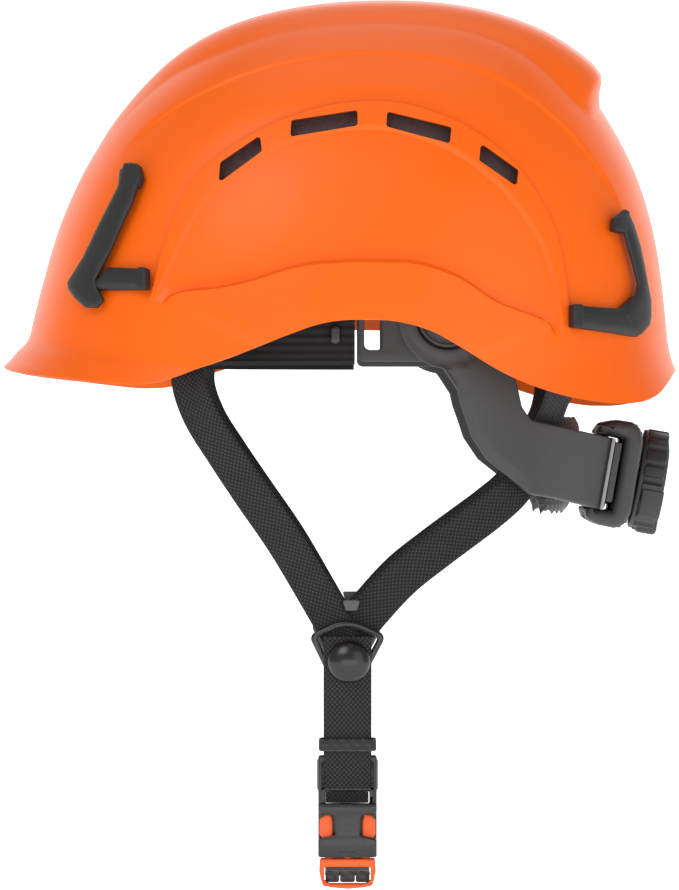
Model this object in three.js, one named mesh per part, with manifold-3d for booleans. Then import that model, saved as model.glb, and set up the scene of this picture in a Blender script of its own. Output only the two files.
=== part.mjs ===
// Arborist / climbing safety helmet, rebuilt as an assembly of separate pieces.
// Units are millimetres, +Z is up, -X is the front of the helmet, -Y is the wearer's left.
// The origin is the centre of the head opening, at the lower edge of the headband.
import * as THREE from 'three';
import { mergeVertices } from 'three/addons/utils/BufferGeometryUtils.js';
import Module from 'manifold-3d';

const wasm = await Module();
wasm.setup();

// ---------- driving dimensions ----------
const SHELL_CX = 10, SHELL_CZ = -14;      // pole axis of the shell surface (a line along Y)
const SHELL_HALF_WIDTH = 108;
const SHELL_POWER = 2.25;                 // super-ellipse power across the shell
const WALL = 3.0;                         // shell wall
const LINER_T = 14;                       // foam liner thickness
const RING_CX = 8, RING_A = 98, RING_B = 78;   // head ring, inner face
const BAND_H = 32, BAND_T = 2.0;          // front headband
const PIVOT_X = 44.5, PIVOT_Z = 19.6;     // height pivot axis (along Y)
const PIVOT_Y = 80.9;                     // mid plane of the arm eye
const ARM_T = 3.0;
const HUB_R = 12.5, EYE_R = 21.4;
const KNOB_TILT = 10 * Math.PI / 180;
const KNOB_O = [125.1, 0, -46.9];         // rear face of the adjuster housing on the knob axis
const KNOB_R = 21.6, KNOB_DEPTH = 10.5;
const PINION_R = 5, MODULE = 1, TEETH = 10;
const STRAP_T = 1.5, STRAP_W = 20, V_STRAP_W = 15.5;
const STRAP_X = 3.3;                      // centre line of the vertical chin straps
const Y_BUCKLE_Y = 72, Y_BUCKLE_Z = -113;
const BUCKLE_Y = 66;
const GAP = 0.3;

// half outline of the shell on the centre plane: [angle deg, radius mm]
const RADIUS = [[-12, 176], [-4, 168], [2, 159], [4, 156], [5.5, 152.9], [6.5, 150.6], [8, 148.1], [9.5, 145.2], [11, 143.9], [14, 143.8],
  [20, 144.5], [30, 148.3], [40, 153.3], [46, 156.6], [50, 158.6], [55, 160.4], [60, 162.1], [65, 163.6], [70, 164.6], [75, 164.9],
  [80, 164.9], [90, 165.3], [100, 167], [105, 168.1], [110, 168.7], [115, 168.1], [120, 165.8], [125, 162.4], [128.5, 160], [132.9, 156.2],
  [139, 151.3], [145, 146.2], [151, 141.4], [157, 137], [163.7, 133.3], [168, 131.8], [170, 131.5], [172.2, 131.9], [174.6, 133.2],
  [178, 136], [184, 142], [192, 150], [215, 150], [240, 140], [270, 135], [300, 145], [325, 165], [348, 176]];
// height of the central crest above that outline
const CREST = [[44, 0], [46, 0.3], [50, 0.8], [55, 2], [60, 3.3], [65, 4], [70, 4.1], [90, 4.2], [100, 4.5], [105, 4.8], [110, 5.3], [115, 6.6],
  [120, 8.4], [124, 9.7], [125.4, 9.3], [127.4, 3.4], [129, 0]];
// lower rim of the shell in side view: [x, z]
const RIM = [[-260, 40], [-150, 8], [-142.5, 1.2], [-141.1, -0.5], [-138.5, -1.9], [-134.3, -2.9], [-126.9, -3.9], [-119.8, -4.7], [-112.8, -5.4], [-99.2, -7],
  [-85.7, -8.1], [-79.1, -7.9], [-72.5, -6.9], [-65.9, -4.9], [-59.3, -2.4], [-46.2, 2], [-33.1, 7], [-20.1, 12.1], [-7.1, 16.4], [-0.6, 17.5],
  [5.9, 17.9], [12.4, 17.9], [18.9, 17.7], [23.7, 17.1], [30.9, 15.5], [38.2, 13], [45.5, 9.1], [52.8, 4.8], [60, 0.3], [67.4, -3.8],
  [73.6, -6.7], [79.4, -8.9], [85.4, -10.9], [93.8, -13.2], [104.1, -15], [110.8, -15.8], [117.6, -15.9], [124.4, -15.3], [127.8, -14.3],
  [132.6, -11.8], [136.4, -7.9], [140.8, -2.7], [142.4, -1.2], [146, 2], [260, 40]];
// feature lines of the shell surface: [angle deg, radial fraction]
const THIN = [[40, 0.925], [52.8, 0.909], [60, 0.892], [68, 0.877], [78, 0.873], [90, 0.873], [104, 0.864], [115, 0.857], [120, 0.862], [125, 0.87],
  [133, 0.885], [140, 0.90], [150, 0.915]];
const BAND_UP = [[18, 0.655], [27.7, 0.663], [37, 0.679], [44.5, 0.696], [50.5, 0.714], [57, 0.721], [66, 0.72], [77, 0.729], [85, 0.738],
  [93, 0.741], [98, 0.735], [103, 0.725], [108, 0.714], [113.6, 0.705], [119.5, 0.70], [126, 0.698], [137.6, 0.692], [150, 0.673], [160, 0.667], [170, 0.66]];
const BAND_LOW = [[18, 0.64], [27.9, 0.652], [31.5, 0.646], [37.5, 0.646], [44.4, 0.655], [50, 0.657], [60, 0.664], [72, 0.671], [85, 0.681],
  [93.4, 0.68], [98.7, 0.671], [104.3, 0.658], [110, 0.648], [116, 0.638], [123, 0.637], [130, 0.64], [140, 0.647], [152, 0.643], [158, 0.644], [170, 0.635]];
const SKIRT = [[18, 0.615], [27.5, 0.615], [29.7, 0.588], [36.5, 0.493], [46.9, 0.416], [56.3, 0.382], [66.4, 0.358], [79.8, 0.338], [96, 0.333],
  [110.4, 0.345], [116.8, 0.355], [128.2, 0.388], [142.9, 0.444], [153.8, 0.545], [158.5, 0.605], [170, 0.61]];
// vent windows of one side in side view: [x, z] corners
const VENTS = [
  [[-49, 75.5], [-48.4, 82.3], [-33, 93.2], [-32.2, 88.3]],
  [[-19.6, 94.8], [-19.2, 99.7], [7.0, 103.8], [7.0, 99.3]],
  [[19.6, 98.9], [20, 103.2], [45.3, 96.8], [44.5, 91.9]],
  [[57.6, 85.4], [58.4, 89.9], [72.7, 79.4], [71.9, 74.4]],
];

// ---------- small maths ----------
const rad = (d) => d * Math.PI / 180;
const sstep = (a, b, x) => { const t = Math.min(1, Math.max(0, (x - a) / (b - a))); return t * t * (3 - 2 * t); };
function lin(tab, x) {
  if (x <= tab[0][0]) return tab[0][1];
  for (let i = 1; i < tab.length; i++) if (x <= tab[i][0]) {
    const [a, p] = tab[i - 1], [b, q] = tab[i];
    return p + (q - p) * (x - a) / (b - a);
  }
  return tab[tab.length - 1][1];
}
const wrapDeg = (a) => (a > 340 ? a - 360 : a);
const baseR = (a) => lin(RADIUS, wrapDeg(a));
function shellBase(a, rho, side) {
  const r = baseR(a) * rho, t = rad(a);
  const y = rho >= 1 ? 0 : SHELL_HALF_WIDTH * Math.pow(1 - Math.pow(rho, SHELL_POWER), 1 / SHELL_POWER);
  return new THREE.Vector3(SHELL_CX - r * Math.cos(t), side * y, SHELL_CZ + r * Math.sin(t));
}
function shellNormal(a, rho, side) {
  if (rho < 0.02) return new THREE.Vector3(0, side, 0);
  const e = 0.4, d = 0.004;
  const r1 = Math.min(0.9995, rho + d), r0 = rho - d;
  const ta = shellBase(a + e, Math.min(rho, 0.9995), side).sub(shellBase(a - e, Math.min(rho, 0.9995), side));
  let n;
  if (rho >= 0.999) {
    n = new THREE.Vector3().crossVectors(ta, new THREE.Vector3(0, 1, 0)).normalize();
    const c = shellBase(a, 1, side).sub(new THREE.Vector3(SHELL_CX, 0, SHELL_CZ));
    return n.dot(c) < 0 ? n.negate() : n;
  }
  const tr = shellBase(a, r1, side).sub(shellBase(a, r0, side));
  n = new THREE.Vector3().crossVectors(ta, tr).normalize();
  const c = shellBase(a, rho, side).sub(new THREE.Vector3(SHELL_CX, 0, SHELL_CZ));
  return n.dot(c) < 0 ? n.negate() : n;
}
const fade = (a) => sstep(24, 30, a) * (1 - sstep(156, 163, a));
const fadeThin = (a) => sstep(44, 54, a) * (1 - sstep(136, 148, a));
// levels of one meridian from the centre plane to the side pole: [fraction, outer offset, inner offset]
function levels(a0) {
  const a = wrapDeg(a0), F = fade(a), T = fadeThin(a), h = lin(CREST, a);
  const wide = 1 - 0.5 * (1 - sstep(56, 70, a));
  const top = 1 - 0.014 * wide, low = 1 - 0.047 * wide - 0.012 * sstep(105, 124, a);
  const th = lin(THIN, a), bu = lin(BAND_UP, a), bl = lin(BAND_LOW, a), sk = lin(SKIRT, a);
  const inF = -WALL - 2.6 * F;
  return [
    [1, h, h - WALL], [top, h * 0.93, h * 0.93 - WALL], [low, 0, -WALL], [th, 0, -WALL], [th - 0.008, -0.7 * T, -WALL - 0.7 * T],
    [(th + bu) / 2, -0.7 * T * 0.5 - 0.9 * F, -WALL - 1.4 * F], [bu + 0.012, -2.4 * F, inF], [bu, 0, inF], [bl, 0, inF], [bl - 0.012, -1.9 * F, inF],
    [(bl + sk) / 2, -2.4 * F, inF], [sk + 0.014, -3.1 * F, inF - 0.3 * F], [sk, 0.6 * F, -WALL - 0.6 * F], [sk * 0.75 + 0.05, 0.6 * F, -WALL + 0.2 * F], [0.19, 0.6 * F, -WALL + 0.3 * F],
    [0.09, 0.6 * F, -WALL + 0.3 * F],
  ];
}
const ANG_FINE = []; for (let i = 0; i < 33; i++) ANG_FINE.push(-4 + i * 200 / 33); for (let i = 0; i < 4; i++) ANG_FINE.push(196 + i * 160 / 4);
ANG_FINE.push(125.2, 128.9, 6.5, 10.5); ANG_FINE.sort((p, q) => p - q);
const ANG_COARSE = []; for (let i = 0; i < 21; i++) ANG_COARSE.push(-4 + i * 200 / 21); for (let i = 0; i < 4; i++) ANG_COARSE.push(196 + i * 160 / 4);

// ---------- solids ----------
function man(pos, idx) {
  let v = 0;
  for (let i = 0; i < idx.length; i += 3) {
    const [a, b, c] = [idx[i] * 3, idx[i + 1] * 3, idx[i + 2] * 3];
    v += pos[a] * (pos[b + 1] * pos[c + 2] - pos[b + 2] * pos[c + 1]) - pos[a + 1] * (pos[b] * pos[c + 2] - pos[b + 2] * pos[c]) + pos[a + 2] * (pos[b] * pos[c + 1] - pos[b + 1] * pos[c]);
  }
  if (v < 0) for (let i = 0; i < idx.length; i += 3) { const t = idx[i + 1]; idx[i + 1] = idx[i + 2]; idx[i + 2] = t; }
  return new wasm.Manifold(new wasm.Mesh({ numProp: 3, vertProperties: new Float32Array(pos), triVerts: new Uint32Array(idx) }));
}
function fromGeometry(geo) {
  const g = geo.index ? geo.toNonIndexed() : geo.clone();
  for (const n of Object.keys(g.attributes)) if (n !== 'position') g.deleteAttribute(n);
  const m = mergeVertices(g, 1e-4);
  const src = Array.from(m.index.array), idx = [];
  for (let i = 0; i < src.length; i += 3) if (src[i] !== src[i + 1] && src[i + 1] !== src[i + 2] && src[i] !== src[i + 2]) idx.push(src[i], src[i + 1], src[i + 2]);
  return man(Array.from(m.attributes.position.array), idx);
}
// closed egg built from the shell surface; off(level) gives the offset along the normal
function egg(angles, off, skip = () => false) {
  const rows = angles.map((a) => levels(a).filter((l, i) => !skip(i)));
  const nA = angles.length, nL = rows[0].length, pos = [], idx = [];
  const id = (i, j, s) => (j === 0 ? i * (2 * nL - 1) : i * (2 * nL - 1) + 1 + (s > 0 ? nL - 1 : 0) + (j - 1));
  for (let i = 0; i < nA; i++) {
    const put = (j, s) => {
      const l = rows[i][j];
      const p = shellBase(angles[i], l[0], s).addScaledVector(shellNormal(angles[i], l[0], s), off(l, j));
      if (j === 0) p.y = 0;
      pos.push(p.x, p.y, p.z);
    };
    put(0, -1);
    for (let j = 1; j < nL; j++) put(j, -1);
    for (let j = 1; j < nL; j++) put(j, 1);
  }
  const poleL = pos.length / 3, poleR = poleL + 1;
  const o = off([0, 0.6, -WALL], nL - 1);
  pos.push(SHELL_CX, -SHELL_HALF_WIDTH - o, SHELL_CZ, SHELL_CX, SHELL_HALF_WIDTH + o, SHELL_CZ);
  for (let i = 0; i < nA; i++) {
    const k = (i + 1) % nA;
    for (const s of [-1, 1]) {
      for (let j = 0; j < nL - 1; j++) {
        const a = id(i, j, s), b = id(k, j, s), c = id(k, j + 1, s), d = id(i, j + 1, s);
        if (s < 0) idx.push(a, b, c, a, c, d); else idx.push(a, c, b, a, d, c);
      }
      const a = id(i, nL - 1, s), b = id(k, nL - 1, s), p = s < 0 ? poleL : poleR;
      if (s < 0) idx.push(a, b, p); else idx.push(b, a, p);
    }
  }
  return man(pos, idx);
}
// straight prism: polygon pts in the (U, V) plane, extruded along N
function prism(pts, origin, U, V, N, depth, holes = []) {
  const shape = new THREE.Shape(pts.map((p) => new THREE.Vector2(p[0], p[1])));
  const g = new THREE.ExtrudeGeometry(shape, { depth, bevelEnabled: false, steps: 1 });
  const m = new THREE.Matrix4().makeBasis(new THREE.Vector3(...U), new THREE.Vector3(...V), new THREE.Vector3(...N)).setPosition(...origin);
  g.applyMatrix4(m);
  let body = fromGeometry(g);
  for (const h of holes) body = body.subtract(prism(h, origin.map((o, i) => o - N[i]), U, V, N, depth + 2));
  return body;
}
const prismY = (pts, y0, y1, holes) => prism(pts, [0, y0, 0], [1, 0, 0], [0, 0, 1], [0, 1, 0], y1 - y0, holes);
const prismZ = (pts, z0, z1, holes) => prism(pts, [0, 0, z0], [1, 0, 0], [0, 1, 0], [0, 0, 1], z1 - z0, holes);
// prisms in the tilted frame of the adjuster: local x along the knob axis, local y = y, local z up
const AX = [Math.cos(KNOB_TILT), 0, -Math.sin(KNOB_TILT)], AZ = [Math.sin(KNOB_TILT), 0, Math.cos(KNOB_TILT)];
const loc = (x, y, z) => [KNOB_O[0] + x * AX[0] + z * AZ[0], KNOB_O[1] + y, KNOB_O[2] + x * AX[2] + z * AZ[2]];
const prismK = (ptsYZ, x0, x1, holes) => prism(ptsYZ, loc(x0, 0, 0), [0, 1, 0], AZ, AX, x1 - x0, holes);
const rect = (a, b, c, d) => [[a, c], [b, c], [b, d], [a, d]];
const circle = (r, n, cx = 0, cy = 0, ph = 0) => Array.from({ length: n }, (_, i) => [cx + r * Math.cos(ph + i * 2 * Math.PI / n), cy + r * Math.sin(ph + i * 2 * Math.PI / n)]);
function rrect(a, b, c, d, r, n = 3) {
  const out = [];
  for (const [cx, cy, q] of [[b - r, d - r, 0], [a + r, d - r, 1], [a + r, c + r, 2], [b - r, c + r, 3]])
    for (let i = 0; i <= n; i++) { const t = (q + i / n) * Math.PI / 2; out.push([cx + r * Math.cos(t), cy + r * Math.sin(t)]); }
  return out;
}
function boxK(x0, x1, y0, y1, z0, z1) { return prismK(rect(y0, y1, z0, z1), x0, x1); }
function lathe(profile, origin, axis, seg = 24) {
  const g = new THREE.LatheGeometry(profile.map((p) => new THREE.Vector2(p[0], p[1])), seg);
  const q = new THREE.Quaternion().setFromUnitVectors(new THREE.Vector3(0, 1, 0), new THREE.Vector3(...axis).normalize());
  g.applyMatrix4(new THREE.Matrix4().makeRotationFromQuaternion(q).setPosition(...origin));
  return fromGeometry(g);
}
// body swept through a list of quads (four corners each)
function sweep(quads) {
  const pos = [], idx = [], n = quads.length;
  for (const q of quads) for (const p of q) pos.push(p.x, p.y, p.z);
  for (let i = 0; i < n - 1; i++) for (let j = 0; j < 4; j++) {
    const a = i * 4 + j, b = i * 4 + (j + 1) % 4, c = a + 4, d = b + 4;
    idx.push(a, b, d, a, d, c);
  }
  idx.push(0, 2, 1, 0, 3, 2, (n - 1) * 4, (n - 1) * 4 + 1, (n - 1) * 4 + 2, (n - 1) * 4, (n - 1) * 4 + 2, (n - 1) * 4 + 3);
  return man(pos, idx);
}
function smooth(pts, n) { return new THREE.CatmullRomCurve3(pts.map((p) => new THREE.Vector3(...p)), false, 'centripetal').getPoints(n); }
// webbing: centre line, outward normal per key point, width and thickness
function ribbon(pts, dirs, w, t, n) {
  const c = smooth(pts, n), d = smooth(dirs, n), quads = [];
  for (let i = 0; i <= n; i++) {
    const tan = (i === 0 ? c[1].clone().sub(c[0]) : i === n ? c[n].clone().sub(c[n - 1]) : c[i + 1].clone().sub(c[i - 1])).normalize();
    const nn = d[i].clone().addScaledVector(tan, -d[i].dot(tan)).normalize();
    const wd = new THREE.Vector3().crossVectors(nn, tan).normalize();
    const P = (a, b) => c[i].clone().addScaledVector(wd, a * w / 2).addScaledVector(nn, b * t / 2);
    quads.push([P(-1, -1), P(1, -1), P(1, 1), P(-1, 1)]);
  }
  return sweep(quads);
}
// upright wall following a plan curve; zf gives [low, high] for each point
function wall(plan, zf, t, shear = () => 0) {
  const quads = [];
  for (let i = 0; i < plan.length; i++) {
    const a = plan[Math.max(0, i - 1)], b = plan[Math.min(plan.length - 1, i + 1)];
    const L = Math.hypot(b[0] - a[0], b[1] - a[1]), nx = (b[1] - a[1]) / L, ny = -(b[0] - a[0]) / L;
    const [z0, z1] = zf(plan[i], i);
    const P = (k, z) => { const x = plan[i][0] + k * nx, y = plan[i][1] + k * ny; return new THREE.Vector3(x + shear(x, z), y, z); };
    quads.push([P(-t / 2, z0), P(t / 2, z0), P(t / 2, z1), P(-t / 2, z1)]);
  }
  return sweep(quads);
}
const ringPt = (deg, off) => {
  const t = rad(deg), x = RING_A * Math.cos(t), y = RING_B * Math.sin(t);
  const nx = Math.cos(t) / RING_A, ny = Math.sin(t) / RING_B, L = Math.hypot(nx, ny);
  return [RING_CX + x + off * nx / L, y + off * ny / L];
};
const mirrorY = (m) => m.mirror([0, 1, 0]);

const group = new THREE.Group();
function add(name, m, color, roughness = 0.5, metalness = 0) {
  const mesh = m.getMesh();
  const g = new THREE.BufferGeometry();
  g.setAttribute('position', new THREE.BufferAttribute(new Float32Array(mesh.vertProperties), 3));
  g.setIndex(new THREE.BufferAttribute(new Uint32Array(mesh.triVerts), 1));
  const o = new THREE.Mesh(g, new THREE.MeshStandardMaterial({ color, roughness, metalness }));
  o.name = name;
  group.add(o);
  return o;
}
const ORANGE = 0xf9691e, DARK = 0x4b4c4e, BLACK = 0x17181a, WEB = 0x1d1e20, FOAM = 0x202225, GREY = 0x8d8f91, STEEL = 0xb8babd;

// ---------- shell, liner, vent mesh ----------
const rimCut = prismY([...RIM, [260, -260], [-260, -260]], -200, 200);
const outerBody = egg(ANG_FINE, (l) => l[1]);
const innerBody = egg(ANG_FINE, (l) => l[2]);
const ventPrism = (v, side) => prismY(v, side < 0 ? -110 : 45, side < 0 ? -45 : 110);
let shell = outerBody.subtract(innerBody).subtract(rimCut);
for (const s of [-1, 1]) for (const v of VENTS) shell = shell.subtract(ventPrism(v, s));
add('outer_shell', shell, ORANGE, 0.42);

const skipCoarse = (i) => i === 4 || i === 6 || i === 9 || i === 11 || i === 14;
const linerOut = egg(ANG_COARSE, () => -WALL - 5.6, skipCoarse);
const linerIn = egg(ANG_COARSE, () => -WALL - 5.6 - LINER_T, skipCoarse);
const linerCut = prismY([[-260, 45], [260, 45], [260, -260], [-260, -260]], -200, 200);
let liner = linerOut.subtract(linerIn).subtract(linerCut);
add('impact_liner', liner, FOAM, 0.9);

const meshOuter = egg(ANG_FINE, () => -WALL - 2.95), meshInner = egg(ANG_FINE, () => -WALL - 3.65);
const meshZone = [[-56, 66], [-52, 88], [-36, 99], [-22, 105.5], [8, 109], [24, 108], [50, 100], [64, 91], [80, 79], [76, 66], [60, 79], [44, 87], [18, 94], [8, 94.5], [-20, 89.5], [-36, 80]];
for (const [n, s] of [['vent_mesh_left', -1], ['vent_mesh_right', 1]])
  add(n, meshOuter.subtract(meshInner).intersect(prismY(meshZone, s < 0 ? -110 : 45, s < 0 ? -45 : 110)), BLACK, 0.8);

// ---------- headlamp clips ----------
const clipLow = egg(ANG_FINE, (l) => Math.max(l[1], 0) + GAP), clipMid = egg(ANG_FINE, (l) => Math.max(l[1], 0) + 2.6), clipTop = egg(ANG_FINE, (l) => Math.max(l[1], 0) + 5.0), clipHead = egg(ANG_FINE, (l) => Math.max(l[1], 0) + 0.9);
const frontArm = [[-83.5, 82], [-88.5, 79], [-88.6, 72.5], [-103, 44], [-110, 33], [-109.4, 31], [-102, 22.5], [-94, 25], [-98, 34.5], [-92.4, 45], [-83, 66], [-80.8, 73], [-81, 80.5]];
const frontFoot = [[-102.5, 22.6], [-97, 26.5], [-92, 30], [-77.6, 40.6], [-76.4, 39.6], [-78, 29.9], [-97.5, 30.8], [-101.5, 29]].length ? [[-104, 24], [-99.5, 30.6], [-93.5, 39.6], [-77.3, 38.4], [-77.2, 30.2], [-98, 30.2]] : [];
const rearArm = [[115.5, 64.6], [119, 57.5], [123.2, 41.3], [126.2, 26.5], [125.8, 17], [121.4, 11.8], [114, 20], [120, 29], [120.7, 33.2], [114.8, 54.5], [110.8, 55.2], [110.4, 59.8]];
const rearFoot = [[93.6, 24.2], [113.8, 22.7], [120.4, 29.4], [124.5, 13], [121, 11.3], [93.4, 15]];
const clips = { front: [frontArm, [[-110, 31.5], [-103.5, 23.2], [-98, 30.4], [-77.2, 30.2], [-77.3, 38.8], [-93.5, 39.8], [-97.4, 34]], [[-88.5, 72], [-81, 72], [-79.5, 76], [-80.8, 81.5], [-86.5, 82]]],
  rear: [rearArm, rearFoot, [[110.4, 54.9], [115.2, 53.8], [117, 64], [111, 60]]] };
// flat seat on each clip foot: [angle, fraction] of its centre on the shell surface
const SEAT = { front: [32.6, 0.668], rear: [158.6, 0.668] };

for (const [w, [arm, foot, hook]] of Object.entries(clips)) {
  const y0 = -125, y1 = -20;
  const a = prismY(arm, y0, y1), f = prismY(foot, y0, y1), h = prismY(hook, y0, y1);
  let clip = clipTop.intersect(a).subtract(clipMid).add(clipTop.intersect(f).subtract(clipLow)).add(clipTop.intersect(h).subtract(clipHead));
  const [sa, sr] = SEAT[w], sn = shellNormal(sa, sr, -1), sp0 = shellBase(sa, sr, -1).addScaledVector(sn, 4.2);
  const su = new THREE.Vector3(1, 0, 0).addScaledVector(sn, -sn.x).normalize(), sv = new THREE.Vector3().crossVectors(sn, su);
  clip = clip.subtract(prism(rect(-9, 9, -12, 12), sp0.toArray(), su.toArray(), sv.toArray(), sn.toArray(), 10));

  add(`clip_${w}_left`, clip, BLACK, 0.55);
  add(`clip_${w}_right`, mirrorY(clip), BLACK, 0.55);
}

// ---------- crown pad ----------
const crownOut = egg(ANG_COARSE, () => -WALL - 6.0 - LINER_T - 1.2, skipCoarse), crownIn = egg(ANG_COARSE, () => -WALL - 6.0 - LINER_T - 6.2, skipCoarse);
add('crown_pad', crownOut.subtract(crownIn).intersect(prismZ(rrect(-38, 52, -26, 26, 12, 3), 60, 200)), BLACK, 0.95);

// ---------- headband ----------
const arcPlan = (d0, d1, n, off) => Array.from({ length: n + 1 }, (_, i) => ringPt(d0 + (d1 - d0) * i / n, off));
const bandPlan = arcPlan(91, 269, 34, BAND_T / 2);
add('headband_front', wall(bandPlan, () => [0, BAND_H], BAND_T), BLACK, 0.8);
add('sweatband_front', wall(arcPlan(104, 256, 28, -3.3), () => [1.5, BAND_H - 2], 5.6), FOAM, 0.95);

// hangers between the head ring and the shell / liner
function hanger(deg, z0, zTop, off0, off1) {
  const p = (off, d) => ringPt(deg + d, off);
  const quads = [];
  for (const [o0, o1, z] of [[off0, off0 + 2, z0], [off0, off0 + 2, zTop - 8], [off0, off0 + 3.5, zTop - 3], [off0, off1, zTop - 1.6], [off0, off1, zTop]]) {
    const [a, b, c, d] = [p(o0, -4), p(o1, -4), p(o1, 4), p(o0, 4)];
    quads.push([a, b, c, d].map((q) => new THREE.Vector3(q[0], q[1], z)));
  }
  return sweep(quads);
}
for (const [n, deg, z0, o] of [['front', 228, 10, BAND_T + GAP], ['side', 281, 36, 0]]) {
  const m = hanger(deg, z0, 44.6, o, o + 11);
  add(`hanger_${n}_left`, m, BLACK, 0.6);
  add(`hanger_${n}_right`, mirrorY(m), BLACK, 0.6);
}

// ---------- side plates, studs, hubs ----------
const SP_OUT = PIVOT_Y - ARM_T / 2 - 1.9, SP_IN = SP_OUT - 2.4;    // side plate between these |y|
let sp = prismY(rrect(7.6, 53, 1.3, 35, 3), -SP_OUT, -SP_IN, [rrect(10.2, 17.6, 6.1, 29, 2.5), circle(5, 24, PIVOT_X, PIVOT_Z)]);
add('side_plate_left', sp, DARK, 0.5);
add('side_plate_right', mirrorY(sp), DARK, 0.5);
const stud = prismY(rrect(-3.8, 0.4, 8.5, 16.5, 2, 4), -(RING_B + BAND_T + 2.2), -(RING_B + BAND_T + 0.3));
add('band_stud_left', stud, BLACK, 0.5);
add('band_stud_right', mirrorY(stud), BLACK, 0.5);
const hubY = -(PIVOT_Y + ARM_T / 2);
const hub = lathe([[0, 0], [9, 0], [9, 0.9], [HUB_R, 0.9], [HUB_R, 5.9], [4.6, 5.9], [4.6, 9.4], [8, 9.4], [8, 11.0], [0, 11.0]], [PIVOT_X, hubY - 1.4, PIVOT_Z], [0, 1, 0], 28);
add('hub_left', hub, DARK, 0.5);
add('hub_right', mirrorY(hub), DARK, 0.5);

// ---------- cradle arms with racks ----------
const tanT = Math.tan(KNOB_TILT);
const armShear = (x, z) => sstep(62, 108, x) * (z + 45.1) * tanT;
const armPlan = smooth([[20, -PIVOT_Y, 0], [44, -PIVOT_Y, 0], [58, -79.6, 0], [70, -74.5, 0], [81, -66.5, 0], [91, -56.5, 0], [99.3, -47, 0], [106, -39.5, 0], [111, -33, 0], [113.9, -27, 0], [114.76, -21, 0], [114.76, -18, 0]], 30).map((p) => [p.x, p.y]);
const armWall = wall(armPlan, () => [-75, 45], ARM_T, armShear);
const eyeArc = []; for (let d = 262; d >= -18; d -= 14) eyeArc.push([PIVOT_X + 1 + EYE_R * Math.cos(rad(d)), PIVOT_Z + EYE_R * Math.sin(rad(d))]);
const armSide = [...eyeArc, [67.6, 8], [72.8, -8.6], [74.6, -17.3], [78.4, -22.6], [102.1, -27.6], [114.5, -30.3], [124, -32], [116, -60.5], [108.8, -59.8], [88.2, -55], [78.4, -53.3], [68.7, -45.4], [60.8, -39.2], [54.3, -29.7], [52, -22.7], [49.5, -15.7], [48.3, -10.4]];
function arm(top) {
  let a = armWall.intersect(prismY(armSide, -100, -27.5));
  a = a.subtract(prismY(circle(HUB_R + 0.7, 28, PIVOT_X, PIVOT_Z), -100, -60));
  // tail with rack teeth on the side of the pinion
  const s = top ? 1 : -1, pitch = Math.PI * MODULE, p = [];
  p.push([-32, 13 * s], [-32, 6.2 * s]);
  for (let k = -4; k < 4; k++) {
    const c = (k + 0.5) * pitch;   // tooth centres, a gap faces the pinion tooth at rest
    p.push([c - 1.05, 6.2 * s], [c - 0.35, 4.15 * s], [c + 0.35, 4.15 * s], [c + 1.05, 6.2 * s]);
  }
  p.push([15, 6.2 * s], [15, 13 * s]);
  const x0 = -10.5 - ARM_T / 2, x1 = -10.5 + ARM_T / 2;
  const root = prismK([[-34, 15], [-34, -14], [-28, -13.5], [-24, top ? 5 : -13], [-24, top ? 13 : -5], [-28, 13.5]], x0, x1);
  return a.subtract(boxK(-20, 4, -28.5, 40, -30, 30)).add(prismK(p, x0, x1).subtract(boxK(-20, 4, -40, -27, -30, 30))).add(root.intersect(armWall.add(boxK(x0, x1, -30, -20, -15, 15)))).add(boxK(x0, x1, -28.4, -25, top ? 5 : -13, top ? 13 : -5));
}
add('arm_left', arm(true), DARK, 0.5);
add('arm_right', mirrorY(arm(false)), DARK, 0.5);

// ---------- adjuster ----------
const houseYZ = rrect(-33, 33, -20, 20, 9, 4);
const housePlan = [[-12, -33], [-16.5, -30], [-18.6, -18], [-19.4, 0], [-18.6, 18], [-16.5, 30], [-12, 33], [-3, 33], [0, 24], [0, -24], [-3, -33]];
const planK = (pts, z0, z1) => prism(pts, loc(0, 0, z0), AX, [0, 1, 0], AZ, z1 - z0);
const houseBody = prismK(houseYZ, -20, 0).intersect(planK(housePlan, -25, 25));
const channel = boxK(-14.7, -6.3, -40, 40, -14, 14).add(boxK(-18, -5.4, 22, 40, -16.6, 16.6)).add(boxK(-18, -5.4, -40, -22, -16.6, 16.6));
const bore = prismK(circle(6.6, 24), -8, 2);
const split = boxK(-30, -14.8, -50, 50, -30, 30);
const screwHoles = [[-18, 17.2], [18, 17.2], [-18, -17.2], [18, -17.2]];
let housing = houseBody.subtract(channel).subtract(bore).subtract(split);
for (const [y, z] of screwHoles) housing = housing.subtract(prismK(circle(1.1, 10, y, z), -16, -8));
add('adjuster_housing', housing, DARK, 0.5);
let cover = houseBody.intersect(boxK(-30, -15.1, -50, 50, -30, 30)).subtract(boxK(-18.2, -5.4, 22, 40, -16.6, 16.6)).subtract(boxK(-18.2, -5.4, -40, -22, -16.6, 16.6));
for (const [y, z] of screwHoles) cover = cover.subtract(prismK(circle(1.1, 10, y, z), -30, -8)).subtract(prismK(circle(2.3, 12, y, z), -30, -17));
add('adjuster_cover', cover, DARK, 0.55);
screwHoles.forEach(([y, z], i) => add(`cover_screw_${i + 1}`, prismK(circle(0.8, 8, y, z), -17.4, -9).add(prismK(circle(2.0, 10, y, z), -18.2, -17.3)), STEEL, 0.35, 0.9));

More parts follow.
